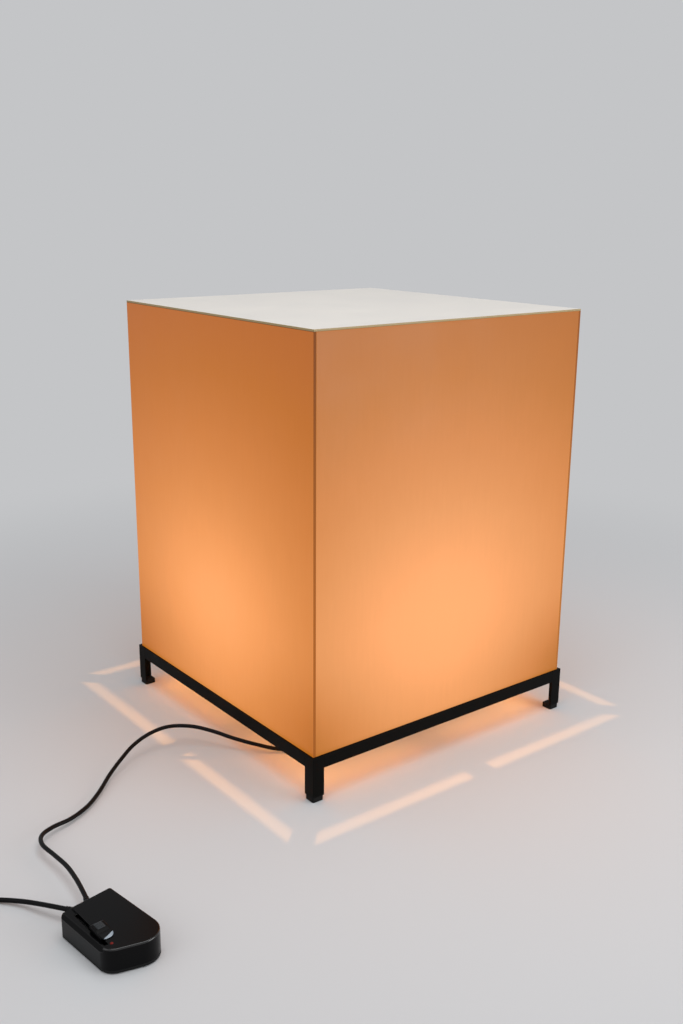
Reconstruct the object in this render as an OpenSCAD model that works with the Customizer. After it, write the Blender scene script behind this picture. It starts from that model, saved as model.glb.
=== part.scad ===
// Column floor lamp: a tall box shade of opal sheet stands in a low tray of steel angle
// on four short angle legs, with a foot dimmer in its lead.
// Millimetres, +Z up. The origin is on the floor, under the middle of the shade.

/* [Shade] */
// Outside width of the square shade
shade_w = 512; // [420:1:600]
// Height of the shade's walls
wall_h = 615; // [400:1:900]
// Thickness of the wall sheets
wall_t = 4; // [3:0.5:6]
// Thickness of the top sheet
top_t = 3; // [3:0.5:6]
// Gap between the shade and the rails, on each side
shade_gap = 1; // [0.5:0.5:3]

/* [Frame] */
// Width of both flanges of the steel angle
angle_w = 20; // [16:1:30]
// Thickness of the steel angle
angle_t = 3; // [2:0.5:4]
// Clear height between the foot pads and the rails
leg_drop = 43; // [30:1:90]
// Height of a foot pad
pad_h = 8; // [4:1:14]
// How far a foot pad stays inside the leg's outline
pad_inset = 0.5; // [0.5:0.5:3]
// Corner radius of a foot pad
pad_r = 3; // [1:0.5:6]
// Width of the flat bars of the cross
bar_w = 30; // [20:1:45]
// Thickness of the flat bars
bar_t = 3; // [2:0.5:5]
// How far the bars lie on the rails
bar_lap = 10; // [5:1:11]
// Width of the open slot between the base plate and the rails
light_slot = 29; // [10:1:60]
// Thickness of the base plate
plate_t = 1.5; // [1:0.5:3]
// Distance of the plate screws from the middle
screw_at = 150; // [60:1:180]
// Radius of the plate screws
screw_r = 2; // [1.5:0.5:3]

/* [Lampholder and bulb] */
// Radius of the threaded tube that carries the lampholder
nipple_r = 5; // [4.5:0.5:6]
// Radius of the tube's bore
nipple_bore_r = 3.6; // [3.4:0.1:4]
// Thickness of the tube's nuts
nut_t = 3; // [2:0.5:5]
// Outer radius of the lampholder
holder_r = 20; // [19:0.5:24]
// Height of the lampholder
holder_h = 56; // [52:1:70]
// Wall of the lampholder's mouldings
holder_t = 2; // [1.5:0.5:3]
// Radius of the bulb's glass
bulb_r = 30; // [25:1:40]
// Height from the bulb's contact to the middle of its glass
bulb_centre = 77; // [70:1:100]
// Wall of the bulb's glass
glass_t = 0.8; // [0.5:0.1:1.5]

/* [Foot dimmer] */
// Width of the dimmer at its flat back
dimmer_w = 70; // [66:1:76]
// Length of the dimmer from the back to the nose
dimmer_l = 114; // [110:1:122]
// Height of the dimmer's flat top
dimmer_h = 33; // [32:1:40]
// Radius of the nose, on the right
nose_r = 25.5; // [22:0.5:28]
// Radius of the front corner, on the left
corner_r = 21; // [18:0.5:22]
// How far the left side swings out towards the front
flare = 3; // [2:0.5:6]
// Wall of the dimmer's mouldings
dimmer_t = 2.5; // [2:0.5:3]
// Rounding of the top edge
edge_r = 2; // [1:0.5:3]
// How far the finger strip lies below the top
strip_drop = 2; // [1:0.5:4]
// Width of the bevel along the outer edge of the finger strip
bevel_w = 4; // [2:0.5:5]
// Thickness of the dimmer's base
base_t = 3.5; // [3:0.5:5]
// Height of the rubber feet
foot_h = 1.5; // [1:0.5:3]
// Length of the slider's track
track_l = 70; // [66:1:72]
// Width of the slider's groove
groove_w = 4; // [3.5:0.5:6]
// Depth of the slider's groove
groove_d = 4; // [2:0.5:4]
// Width of the slider knob
knob_w = 17; // [14:0.5:18]
// Length of the slider knob
knob_l = 29; // [27:1:30]
// Height of the slider knob
knob_h = 5; // [4.5:0.1:6]
// Distance of the knob from the back end of its track
knob_at = 50; // [15:0.5:55.5]
// Gap under the sliding knob
slide_gap = 0.3; // [0.2:0.1:0.6]

/* [Lead and plug] */
// Radius of the round mains lead
cord_r = 3; // [2.5:0.1:3.2]
// Length of the plug's body
plug_l = 38; // [34:1:44]
// Width of the plug's body
plug_w = 34; // [30:1:38]
// Thickness of the plug's body
plug_t = 14; // [13:0.5:16]
// Radius of a plug pin
pin_r = 2; // [2:0.1:2.4]
// Length of a plug pin
pin_l = 19; // [17:1:20]
// Distance between the pins
pin_gap = 18.6; // [17:0.1:19]

/* [Hidden] */
CORNERS = ["front_left", "front_right", "back_right", "back_left"];
SIDES = ["front", "right", "back", "left"];
fit = 0.05;                 // running fit of screwed and pushed pieces
free = 2;                   // room between the ends of the bars and the shade's walls

// heights, from the floor up
tray_z = pad_h + leg_drop;
ledge_z = tray_z + angle_t;
rail_top = tray_z + angle_w;
bar_top = ledge_z + bar_t;
plate_top = bar_top + plate_t;
holder_z = plate_top + nut_t + 0.5;
contact_z = holder_z + 29;
glass_z = contact_z + bulb_centre;
skirt_top = holder_z + holder_h;
shade_top_z = ledge_z + wall_h;

// plan sizes
frame_half = shade_w / 2 + shade_gap + angle_t;
ledge_half = frame_half - angle_w;
room_half = shade_w / 2 - wall_t;
bar_half = min(ledge_half + bar_lap, room_half - free);
plate_half = ledge_half - light_slot;

// lampholder and bulb
cap_h = 24;                 // height of the holder's lower moulding
collar_r = 10;              // its collar round the threaded tube
collar_h = 5;
dome_h = 14;                // height where it reaches its full width
cap_r = holder_r - 0.8;
ribs = 24;                  // grip ribs round the skirt
rib_r = 0.6;
terminal_x = 9;             // distance of the two terminal screws from the middle
core_r = holder_r - holder_t - 0.5;
core_z = holder_z + 16;     // underside of the insulating core
core_h = 10;                // its height
shell_r = 13.6;             // bore of the screw shell
shell_t = 0.5;
shell_h = 20;
thread_r = 13;              // mean radius of the bulb's screw cap
thread_pitch = 3.6;
thread_turns = 5;
bulb_cap_low = 2.5;         // from the bulb's contact up to its screw cap
neck_z = contact_z + bulb_cap_low + thread_pitch * thread_turns + 5;
ring_r = 11;                // radius of the filament's ring
grip_r = 8.5;
grip_h = 13;
washer_r = 10;
washer_t = 1;
nipple_low = ledge_z - washer_t - nut_t - 5;
nipple_high = holder_z + 10;
grip_top = nipple_low + 4;
grip_low = grip_top - grip_h - 4;

// foot dimmer
dimmer_at = [-633.2, -314.3]; // middle of its back edge
dimmer_turn = 9;
lamp_side = 12;             // where the lamp's lead enters, right of the middle
mains_side = -9;            // where the mains lead enters
lead_z = 15;                // height of both leads at the dimmer
grommet_l = 5;              // how far a grommet stands out of the back
base_z = foot_h;
shell_z = base_z + base_t;
strip_z = dimmer_h - strip_drop;
corner_y = -(dimmer_l - nose_r - 6.5); // middle of the front corner's round
side_turn = atan(-flare / corner_y);
track_turn = 5.9;
track_start = [-dimmer_w / 2 + 12.3, -14];
strip_l = track_l + 4;      // from the track's back end to the strip's front end
slot_w = 2.4;               // slot that the knob's blade runs in
blade_w = 1.6;
blade_l = 8;
board_z = shell_z + 3;
board_t = 1.6;
board_top = board_z + board_t;
boss_r = 3.5;
boss_x = dimmer_w / 2 - 7;
boss_at = [[-boss_x, -8], [boss_x, -8], [19, -(dimmer_l - 14)], [-31.3, -87.3]];
screw_hole_r = 1.3;         // in a boss, and the screw's thread bites in it
post_at = [[-22, -30], [22, -30], [14, -82]];
foot_at = [[-24, -17], [24, -17], [4, -96], [-33, -75]];
foot_r = 4;
led_at = [-25, -88];
led_r = 2;
sink_x = 26;                // outer face of the heat sink
sink_l = 34;
sink_t = 1.5;
clamp_y = -12;              // middle of the clamps over the leads
clamp_w = 12;
sheath_end = clamp_y - 3.5;
block_y = -24;              // face of the terminal block
mains_bend = 6;             // how far the mains cores bend aside, past the slide control
control_top = strip_z - groove_d - dimmer_t - 0.5;

// coil of the unseen length of the mains lead
coil_at = [-771, -209];
coil_sides = 6;
loop_rings = 24;
layer_turns = 3;            // turns beside each other in one layer
coil_length = 6.352;        // in turns, ends where the lead leaves for the plug
coil_start = 53.13;         // angle where the lead reaches the coil
coil_pitch = 2 * cord_r + 0.6;
coil_in_r = 8 * cord_r;     // middle of the innermost turn, four diameters
lay_z = cord_r + 0.2;       // middle of a lead that lies on the floor
plug_tail = 20;             // length of the plug's strain relief
tail_rings = 5;
pin_root = 8;               // part of a pin inside the plug
pin_root_r = 1.5;
pin_tip = 1.5;              // tapered end of a pin
plug_at = [-806, -290, 7.2];

// the lamp's lead, from the grip under the base plate over the floor to the dimmer
lamp_route = [
    [0, 0, 30], [-3, -2.5, 17.6], [-11, -9.2, 7.4], [-22.1, -18.4, 3.7], [-52, -45, 3.2],
    [-84, -73, 3.2], [-152, -116, 3.2], [-184, -120, 4], [-214, -106, 7], [-240, -82, 13],
    [-264, -55, 20], [-285, -26, 27], [-308, 0, 31.5], [-338, 17, 33], [-370, 19, 30],
    [-402, 11, 24], [-432, -6, 17], [-462, -28, 11], [-492, -56, 7], [-522, -81, 6],
    [-555, -99, 7], [-586, -109, 10], [-608, -124, 13], [-617, -148, 15], [-615, -180, 16],
    [-613, -215, 17], [-615.2, -247, 17], [-618.5, -271, 16.5], [-621.3, -288, 15.7]
];
// the mains lead, from the dimmer to the coil
mains_route = [
    [-647.6, -295.5, 14.8], [-656, -282.5, 14.2], [-665, -266, 12], [-674, -249, 9.2],
    [-684, -232.5, 6.4], [-699, -215, 4.4], [-719, -198, 3.6]
];
// the end of the mains lead, from the coil to the plug
plug_route = [[-812, -237, 14.4], [-810, -256, 11], [-807.5, -273, 8.4]];

$fn = 48;

// ---------- paths and tubes ----------

function unit(v) = v / norm(v);

// a point of the smooth curve through a, b, c and d, between b and c
function between(a, b, c, d, t) =
    0.5 * (2 * b + (c - a) * t + (2 * a - 5 * b + 4 * c - d) * t * t
        + (3 * b - a - 3 * c + d) * t * t * t);

// the route's points with one more ring in the middle of each run
function smooth(p) = [
    for (i = [0:len(p) - 2]) each [
        p[i],
        between(p[max(i - 1, 0)], p[i], p[i + 1], p[min(i + 2, len(p) - 1)], 0.5)
    ],
    p[len(p) - 1]
];

function heading(p, i) =
    unit(p[min(i + 1, len(p) - 1)] - p[max(i - 1, 0)]);

// side vectors along the path, turned as little as possible from ring to ring
function sides_along(p, u, i = 0, out = []) =
    i == len(p) ? out
    : let (t = heading(p, i), s = unit(u - (u * t) * t))
        sides_along(p, s, i + 1, concat(out, [s]));

// a closed tube along the points of p
module tube(p, r, sides, first_side) {
    u = sides_along(p, first_side);
    rings = [
        for (i = [0:len(p) - 1], k = [0:sides - 1])
        let (a = 360 * (k + 0.5) / sides, v = cross(heading(p, i), u[i]))
            p[i] + r * (cos(a) * u[i] + sin(a) * v)
    ];
    last = (len(p) - 1) * sides;
    faces = concat(
        [[for (k = [0:sides - 1]) sides - 1 - k]],
        [[for (k = [0:sides - 1]) last + k]],
        [
            for (i = [0:len(p) - 2], k = [0:sides - 1])
            let (a = i * sides + k, b = i * sides + (k + 1) % sides)
                each [[a, b, a + sides], [b, b + sides, a + sides]]
        ]
    );
    polyhedron(rings, [for (f = faces) [for (k = [len(f) - 1:-1:0]) f[k]]]);
}

// a place on the dimmer, given from the middle of its back edge, in the lamp's own frame
function on_dimmer(x, y, z) = [
    dimmer_at.x + x * cos(dimmer_turn) - y * sin(dimmer_turn),
    dimmer_at.y + x * sin(dimmer_turn) + y * cos(dimmer_turn),
    z
];

// the coil: a layer of turns wound inwards on the floor, one outwards on top of it, and so on
function climb(t) = let (s = min(max(2 * t + 0.5, 0), 1)) s * s * (3 - 2 * s);
function coil_point(t) =
    let (
        a = coil_start + 360 * t,
        r = coil_in_r + coil_pitch * abs(layer_turns - t % (2 * layer_turns)),
        level = climb(t - layer_turns) + climb(t - 2 * layer_turns)
    )
    [coil_at.x + r * cos(a), coil_at.y + r * sin(a), lay_z + coil_pitch * level];
coil_steps = round(coil_length * loop_rings);
coil_turns = [for (i = [0:coil_steps]) coil_point(coil_length * i / coil_steps)];
function flat_heading(a) = [-sin(a), cos(a), 0];
coil_in_way = flat_heading(coil_start);
coil_out_way = flat_heading(coil_start + 360 * coil_length);
coil_path = concat(
    [coil_turns[0] - 2 * cord_r * coil_in_way],
    coil_turns,
    [coil_turns[coil_steps] + 2 * cord_r * coil_out_way]
);
coil_gap = min([
    for (i = [0:coil_steps - loop_rings / 2])
    min([for (k = [i + loop_rings / 2:coil_steps]) norm(coil_turns[i] - coil_turns[k])])
]) - 2 * cord_r;
echo(least_gap_of_the_coil_to_itself = coil_gap);

// ---------- frame ----------

// puts a piece drawn at the front left corner, or the front side, at the i-th place
module at_place(i) { rotate(90 * i) children(); }

module rounded_square(w, r) {
    square([w - 2 * r, w], center = true);
    square([w, w - 2 * r], center = true);
    for (x = [-1, 1], y = [-1, 1])
        translate([x * (w / 2 - r), y * (w / 2 - r)]) circle(r);
}

module leg() {
    color("#191919")
    translate([-frame_half, -frame_half, pad_h])
    linear_extrude(rail_top - pad_h)
    polygon([
        [0, 0], [angle_w, 0], [angle_w, angle_t],
        [angle_t, angle_t], [angle_t, angle_w], [0, angle_w]
    ]);
}

module foot_pad() {
    w = angle_w - 2 * pad_inset;
    color("#0d0d0d")
    translate([angle_w / 2 - frame_half, angle_w / 2 - frame_half, 0])
    linear_extrude(pad_h) rounded_square(w, pad_r);
}

// the upright flange runs from leg to leg, the ledge is mitred inside the legs
module rail() {
    inner = frame_half - angle_t;
    color("#191919") {
        translate([-ledge_half, -frame_half, tray_z])
        cube([2 * ledge_half, angle_t, angle_w]);
        translate([0, 0, tray_z])
        linear_extrude(angle_t)
        polygon([
            [-ledge_half, -frame_half], [ledge_half, -frame_half],
            [ledge_half, -inner], [inner, -inner],
            [ledge_half, -ledge_half], [-ledge_half, -ledge_half],
            [-inner, -inner], [-ledge_half, -inner]
        ]);
    }
}

module screw_holes(r) {
    for (i = [0:3]) rotate(90 * i) translate([screw_at, 0]) circle(r);
}

module cross_bar_long() {
    color("#191919")
    translate([0, 0, ledge_z])
    linear_extrude(bar_t)
    difference() {
        square([2 * bar_half, bar_w], center = true);
        circle(nipple_r + fit);
        screw_holes(screw_r + fit);
    }
}

// a half bar, welded against the side of the long one
module cross_bar_half() {
    color("#191919")
    translate([0, 0, ledge_z])
    linear_extrude(bar_t)
    difference() {
        translate([-bar_w / 2, -bar_half]) square([bar_w, bar_half - bar_w / 2]);
        screw_holes(screw_r + fit);
    }
}

module base_plate() {
    color("#e8e6e1")
    translate([0, 0, bar_top])
    linear_extrude(plate_t)
    difference() {
        square(2 * plate_half, center = true);
        circle(nipple_r + fit);
        screw_holes(screw_r + fit);
    }
}

module plate_screws() {
    head_r = 1.9 * screw_r;
    head_h = 1.1 * screw_r;
    color("#3a3a3a")
    for (i = [0:3]) rotate(90 * i) translate([screw_at, 0, 0])
    difference() {
        union() {
            translate([0, 0, ledge_z - 2 * screw_r - 1])
            cylinder(r = screw_r, h = plate_top - ledge_z + 2 * screw_r + 1);
            // domed head
            translate([0, 0, plate_top]) rotate_extrude()
            intersection() {
                square([head_r, head_h]);
                translate([0, head_h - 2.2 * head_r]) circle(2.2 * head_r);
            }
        }
        // hexagon socket
        translate([0, 0, plate_top + head_h * 0.4])
        cylinder(r = 0.7 * screw_r, h = head_h, $fn = 6);
    }
}

module hex_nut(flats, bore_r, h) {
    difference() {
        cylinder(r = flats / sqrt(3), h = h, $fn = 6);
        translate([0, 0, -1]) cylinder(r = bore_r, h = h + 2);
    }
}

module plate_nuts() {
    color("silver")
    for (i = [0:3]) rotate(90 * i)
    translate([screw_at, 0, ledge_z - 1.6 * screw_r])
    hex_nut(3.5 * screw_r, screw_r + fit, 1.6 * screw_r);
}

// ---------- lampholder ----------

module threaded_tube() {
    color("#c9c9c4")
    translate([0, 0, nipple_low])
    difference() {
        cylinder(r = nipple_r, h = nipple_high - nipple_low);
        translate([0, 0, -1]) cylinder(r = nipple_bore_r, h = nipple_high - nipple_low + 2);
    }
}

module tube_nuts() {
    color("silver") {
        translate([0, 0, plate_top]) hex_nut(2.8 * nipple_r, nipple_r + fit, nut_t);
        translate([0, 0, ledge_z - washer_t - nut_t])
        hex_nut(2.8 * nipple_r, nipple_r + fit, nut_t);
    }
}

module tube_washer() {
    color("silver")
    translate([0, 0, ledge_z - washer_t])
    difference() {
        cylinder(r = washer_r, h = washer_t);
        translate([0, 0, -1]) cylinder(r = nipple_r + fit, h = washer_t + 2);
    }
}

// screwed on the tube's lower end, with a tapered nose that holds the lead
module cord_grip() {
    nose = cord_r + 1.6;
    color("#121212")
    difference() {
        rotate_extrude()
        polygon([
            [0, grip_top], [grip_r - 1, grip_top], [grip_r, grip_top - 1],
            [grip_r, grip_low + 7], [grip_r - 1.5, grip_low + 6], [nose, grip_low], [0, grip_low]
        ]);
        translate([0, 0, nipple_low]) cylinder(r = nipple_r + fit, h = grip_top);
        translate([0, 0, grip_low - 1]) cylinder(r = cord_r + 0.1, h = grip_h + 10);
    }
}

// the lead's held end, through the grip and the tube to the holder's terminals
module lead_in() {
    end_z = nipple_high + 1;
    color("#101010")
    translate([0, 0, grip_low]) cylinder(r = cord_r, h = end_z - grip_low);
    for (s = [-1, 1]) color(s < 0 ? "#7a4a22" : "#2b5ca8")
        tube(
            [
                [s * 1.3, 0, end_z], [s * 1.8, 0, end_z + 1.2],
                [s * 5.5, 0, end_z + 2.4], [s * (terminal_x - 0.4), 0, end_z + 3.6],
                [s * terminal_x, 0, end_z + 6.5]
            ],
            1.1, 8, [0, 1, 0]
        );
}

module holder_cap() {
    color("#151515")
    difference() {
        rotate_extrude()
        polygon([
            [0, holder_z], [collar_r - 1, holder_z], [collar_r, holder_z + 1],
            [collar_r, holder_z + collar_h], [cap_r - 2.2, holder_z + dome_h - 3],
            [cap_r, holder_z + dome_h], [cap_r, holder_z + cap_h], [0, holder_z + cap_h]
        ]);
        // hollow for the terminals
        rotate_extrude()
        polygon([
            [0, holder_z + collar_h + 4], [collar_r - 1, holder_z + collar_h + 4],
            [cap_r - 4.2, holder_z + dome_h - 1.4], [core_r + fit, holder_z + dome_h + 1],
            [core_r + fit, holder_z + cap_h + 1], [0, holder_z + cap_h + 1]
        ]);
        translate([0, 0, holder_z - 1]) cylinder(r = nipple_r + fit, h = dome_h);
    }
}

// insulating core that carries the screw shell and the contact
module holder_core() {
    color("#eceae2")
    difference() {
        union() {
            translate([0, 0, core_z]) cylinder(r = core_r, h = core_h - 2);
            translate([0, 0, core_z + core_h - 2]) cylinder(r = shell_r + shell_t + 2, h = 2);
        }
        // wells of the two terminal screws
        for (s = [-1, 1]) translate([s * terminal_x, 0, core_z - 1]) cylinder(r = 2.2, h = 5);
    }
}

module holder_skirt() {
    low = holder_z + cap_h;
    color("#151515")
    difference() {
        union() {
            translate([0, 0, low]) cylinder(r = holder_r, h = skirt_top - low);
            for (k = [0:ribs - 1]) rotate(360 * k / ribs) translate([holder_r, 0, low + 4])
                cylinder(r = rib_r, h = skirt_top - low - 8, $fn = 16);
        }
        translate([0, 0, low - 1])
        cylinder(r = holder_r - holder_t, h = skirt_top - low + 2);
    }
}

module screw_shell() {
    z = core_z + core_h;
    color("#c8a24a")
    difference() {
        translate([0, 0, z]) cylinder(r = shell_r + shell_t, h = shell_h);
        translate([0, 0, z - 1]) cylinder(r = shell_r, h = shell_h + 2);
    }
}

// spring tongue in the middle of the core
module centre_contact() {
    z = core_z + core_h;
    rise = contact_z - z;
    color("#c8a24a")
    translate([0, 2.5, z]) rotate([90, 0, 0])
    linear_extrude(5)
    polygon([
        [-10, 0], [-5, 0], [-2, rise - 0.5], [4, rise - 0.5],
        [4, rise], [-2.4, rise], [-5.3, 0.5], [-10, 0.5]
    ]);
}

// ---------- bulb ----------

module bulb_cap() {
    z = contact_z + bulb_cap_low;
    crest = 0.45;
    steps = 12;
    h = thread_pitch * thread_turns;
    outer = [
        for (i = [0:steps * thread_turns])
        [thread_r + crest * sin(360 * i / steps - 90), z + 3 + thread_pitch * i / steps]
    ];
    inner_r = thread_r - crest - 0.6;
    color("#b9b7b0")
    rotate_extrude()
    polygon(concat(
        [[6, z], [9, z + 0.2], [thread_r - 1.5, z + 2]],
        outer,
        [
            [thread_r + 0.4, z + h + 6], [thread_r - 0.2, z + h + 6],
            [inner_r, z + h + 4], [inner_r, z + 3], [9, z + 1], [6, z + 0.8]
        ]
    ));
}

module bulb_contact() {
    color("#1a1a1a")
    translate([0, 0, contact_z + 0.8]) cylinder(r1 = 5, r2 = 6 - fit, h = 2.5);
    color("#c0a060")
    translate([0, 0, contact_z]) cylinder(r1 = 3.5, r2 = 4.5, h = 0.8);
}

// half section of the glass: sphere, shoulder and neck, drawn for a wall's offset d
function glass_side(d) = [
    for (a = [-44:8:84]) [(bulb_r - d) * cos(a), glass_z + (bulb_r - d) * sin(a)]
];
module bulb_glass() {
    neck_r = thread_r - 0.8;
    color("#f4f1ea", 0.5)
    rotate_extrude()
    polygon(concat(
        [[neck_r, neck_z], [neck_r + 0.8, neck_z + 8], [neck_r + 3.2, neck_z + 18]],
        glass_side(0),
        [[0, glass_z + bulb_r], [0, glass_z + bulb_r - glass_t]],
        [for (i = [len(glass_side(0)) - 1:-1:0]) glass_side(glass_t)[i]],
        [
            [neck_r + 3.2 - glass_t, neck_z + 18], [neck_r + 0.8 - glass_t, neck_z + 8],
            [neck_r - glass_t, neck_z]
        ]
    ));
}

// flared glass foot with its rod
module bulb_stem() {
    color("#e6ecec")
    rotate_extrude()
    polygon([
        [0, neck_z + 2], [thread_r - 1.6, neck_z], [thread_r - 1.6, neck_z + 0.8],
        [5, neck_z + 7], [3.4, neck_z + 14], [3, neck_z + 26],
        [1.2, neck_z + 28], [1.2, glass_z + 4], [0, glass_z + 5]
    ]);
}

module bulb_filament() {
    drop = glass_z - neck_z - 26;
    run = ring_r - 1.75;
    color("#ffb36b")
    translate([0, 0, glass_z]) {
        rotate(30) rotate_extrude(angle = 300, $fn = 32)
            translate([ring_r, 0]) circle(0.5, $fn = 16);
        for (a = [30, 330]) rotate(a) translate([ring_r, 0, 0])
            rotate([0, -180 + atan2(run, drop), 0])
            cylinder(r = 0.4, h = norm([run, drop]), $fn = 16);
    }
}

// ---------- shade ----------

module shade_side_wall() {
    color("#e9a35f")
    translate([-shade_w / 2, -shade_w / 2, ledge_z]) cube([wall_t, shade_w, wall_h]);
}

module shade_end_wall() {
    color("#e9a35f")
    translate([-room_half, -shade_w / 2, ledge_z]) cube([2 * room_half, wall_t, wall_h]);
}

module shade_top() {
    color("#ece4da")
    translate([-shade_w / 2, -shade_w / 2, shade_top_z]) cube([shade_w, shade_w, top_t]);
}

// ---------- foot dimmer, drawn from the middle of its back edge, nose towards -Y ----------

module on_floor() {
    translate([dimmer_at.x, dimmer_at.y, 0]) rotate(dimmer_turn) children();
}

// the four rounds of the plan, drawn in by d: two at the flat back, a big nose on the right
// and a smaller one at the end of the flared left side
module plan_rounds(d = 0) {
    back_r = 3.5;
    nose = [dimmer_w / 2 - nose_r, -(dimmer_l - nose_r)];
    corner = [-dimmer_w / 2 - flare + corner_r, corner_y];
    for (x = [-1, 1]) translate([x * (dimmer_w / 2 - back_r), -back_r])
        circle(back_r - d, $fn = 24);
    translate(nose) circle(nose_r - d);
    translate(corner) circle(corner_r - d, $fn = 36);
}
module dimmer_plan(d = 0) { hull() plan_rounds(d); }

// children are drawn along the slider's track: +X across it, -Y towards the nose
module on_track(s) {
    translate([track_start.x, track_start.y]) rotate(-track_turn)
    translate([0, -s]) children();
}

module dimmer_top_edge() {
    steps = 4;
    plain = dimmer_h - shell_z - edge_r;
    hull() {
        linear_extrude(plain) plan_rounds();
        for (i = [1:steps]) {
            a = 90 * i / steps;
            translate([0, 0, plain]) linear_extrude(edge_r * sin(a))
                plan_rounds(edge_r * (1 - cos(a)));
        }
    }
}

// the strip beside the flat top, left of the line through the groove's right edge
module strip_zone(room) {
    on_track(0) translate([groove_w / 2 - 60 + room, -dimmer_l]) square([60, dimmer_l + 30]);
}

module dimmer_housing() {
    color("#1b1b1c")
    on_floor()
    difference() {
        translate([0, 0, shell_z]) dimmer_top_edge();
        // hollow, lower under the finger strip
        translate([0, 0, shell_z - 1])
        linear_extrude(dimmer_h - dimmer_t - shell_z + 1)
        difference() {
            dimmer_plan(dimmer_t);
            strip_zone(dimmer_t);
            for (b = boss_at) translate(b) circle(boss_r);
        }
        translate([0, 0, shell_z - 1])
        linear_extrude(control_top + 0.5 - shell_z + 1)
        difference() {
            dimmer_plan(dimmer_t);
            for (b = boss_at) translate(b) circle(boss_r);
        }
        // finger strip, which ends before the front corner, with its bevelled outer edge
        translate([0, 0, strip_z]) linear_extrude(dimmer_h)
        intersection() {
            strip_zone(0);
            on_track(0) translate([-60, -strip_l]) square([120, strip_l + 30]);
        }
        translate([-dimmer_w / 2, 0, strip_z]) rotate(-side_turn) translate([0, 10, 0])
        rotate([90, 0, 0]) linear_extrude(strip_l - track_start.y + 10)
        polygon([[-3, -1.2 * bevel_w], [0, -1.2 * bevel_w], [bevel_w, 0], [bevel_w, 9], [-3, 9]]);
        // groove and slot of the slider
        translate([0, 0, strip_z - groove_d]) linear_extrude(dimmer_h)
        on_track(0) translate([-groove_w / 2, -track_l]) square([groove_w, track_l]);
        translate([0, 0, shell_z]) linear_extrude(dimmer_h)
        on_track(0) translate([-slot_w / 2, -(track_l - 4)]) square([slot_w, track_l - 8]);
        // holes of the leads, the indicator and the screws
        for (x = [lamp_side, mains_side]) translate([x, 5, lead_z]) rotate([90, 0, 0])
            cylinder(r = cord_r + 1.5, h = 12);
        translate([led_at.x, led_at.y, strip_z - 12]) cylinder(r = led_r + fit, h = 40);
        for (b = boss_at) translate([b.x, b.y, shell_z - 1]) cylinder(r = screw_hole_r, h = 14);
    }
}

module dimmer_base() {
    color("#161616")
    on_floor() {
        difference() {
            translate([0, 0, base_z]) linear_extrude(base_t) dimmer_plan();
            for (b = boss_at) {
                translate([b.x, b.y, 0]) cylinder(r = 1.7, h = 20);
                translate([b.x, b.y, 0]) cylinder(r = 3.2, h = base_z + 2);
            }
        }
        // saddles under the leads and posts under the board
        for (x = [lamp_side, mains_side])
            translate([x - clamp_w / 2, clamp_y - 2.5, shell_z])
            cube([clamp_w, 5, lead_z - cord_r - shell_z]);
        for (p = post_at) translate([p.x, p.y, shell_z]) cylinder(r = 3, h = board_z - shell_z);
    }
}

module dimmer_feet() {
    color("#0b0b0b")
    on_floor()
    for (p = foot_at) translate([p.x, p.y, 0]) cylinder(r = foot_r, h = foot_h);
}

module dimmer_screws() {
    color("silver")
    on_floor()
    for (b = boss_at) translate([b.x, b.y, base_z]) {
        difference() {
            translate([0, 0, 0.2]) cylinder(r = 3, h = 1.8);
            translate([-0.5, -3.5, 0]) cube([1, 7, 0.8]);
        }
        translate([0, 0, 2]) cylinder(r = screw_hole_r - fit, h = 12);
    }
}

module dimmer_board() {
    color("#2c5a3c")
    on_floor()
    translate([0, 0, board_z]) linear_extrude(board_t)
    difference() {
        dimmer_plan(dimmer_t + 0.5);
        translate([-60, -20]) square([120, 30]);
        for (b = boss_at) translate(b) circle(boss_r + 0.6);
    }
}

// slide potentiometer under the strip, with a slot for the knob's blade
module slide_control() {
    w = 7;
    color("#9aa0a4")
    on_floor()
    difference() {
        translate([0, 0, board_top]) linear_extrude(control_top - board_top)
        on_track(0) translate([-w / 2, -(track_l - 7)]) square([w, track_l - 13]);
        translate([0, 0, control_top - 4]) linear_extrude(10)
        on_track(0) translate([-slot_w / 2, -(track_l - 10)]) square([slot_w, track_l - 20]);
    }
}

// power switch clipped to a bent sheet
module heat_sink() {
    color("#b4b8ba")
    on_floor()
    translate([sink_x, -sink_l, board_top])
    rotate(-90) {
        cube([sink_l, sink_t, 17]);
        translate([0, -6, 0]) cube([sink_l, 6, sink_t]);
    }
    color("#101010")
    on_floor() translate([sink_x - 5.1, -56, board_top + sink_t]) cube([5.1, 10, 11]);
}

module choke() {
    color("#b5763a")
    on_floor()
    translate([6, -68, board_top])
    rotate_extrude() translate([7, 4]) circle(4, $fn = 24);
}

module capacitor() {
    color("#c9b23a")
    on_floor() translate([-8, -50, board_top]) cube([8, 17, 13]);
}

module terminal_block() {
    color("#e2e2dc")
    on_floor()
    difference() {
        translate([mains_side + 1, block_y - 9, board_top])
        cube([lamp_side - mains_side + 4, 9, lead_z + 3 - board_top]);
        for (x = [lamp_side, mains_side + mains_bend], s = [-1, 1])
            translate([x + 1.6 * s, block_y - 8, lead_z]) rotate([-90, 0, 0])
            cylinder(r = 1.2, h = 10);
    }
}

module lead_clamps() {
    color("#202020")
    on_floor()
    for (x = [lamp_side, mains_side])
        translate([x - clamp_w / 2, clamp_y - 2.5, lead_z + cord_r]) cube([clamp_w, 5, 2.5]);
    color("silver")
    on_floor()
    for (x = [lamp_side, mains_side], s = [-1, 1])
        translate([x + (cord_r + 1.3) * s, clamp_y, lead_z - cord_r]) {
            cylinder(r = 1.2, h = 2 * cord_r);
            translate([0, 0, 2 * cord_r + 2.5]) cylinder(r = 1.6, h = 1.4);
        }
}

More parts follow.
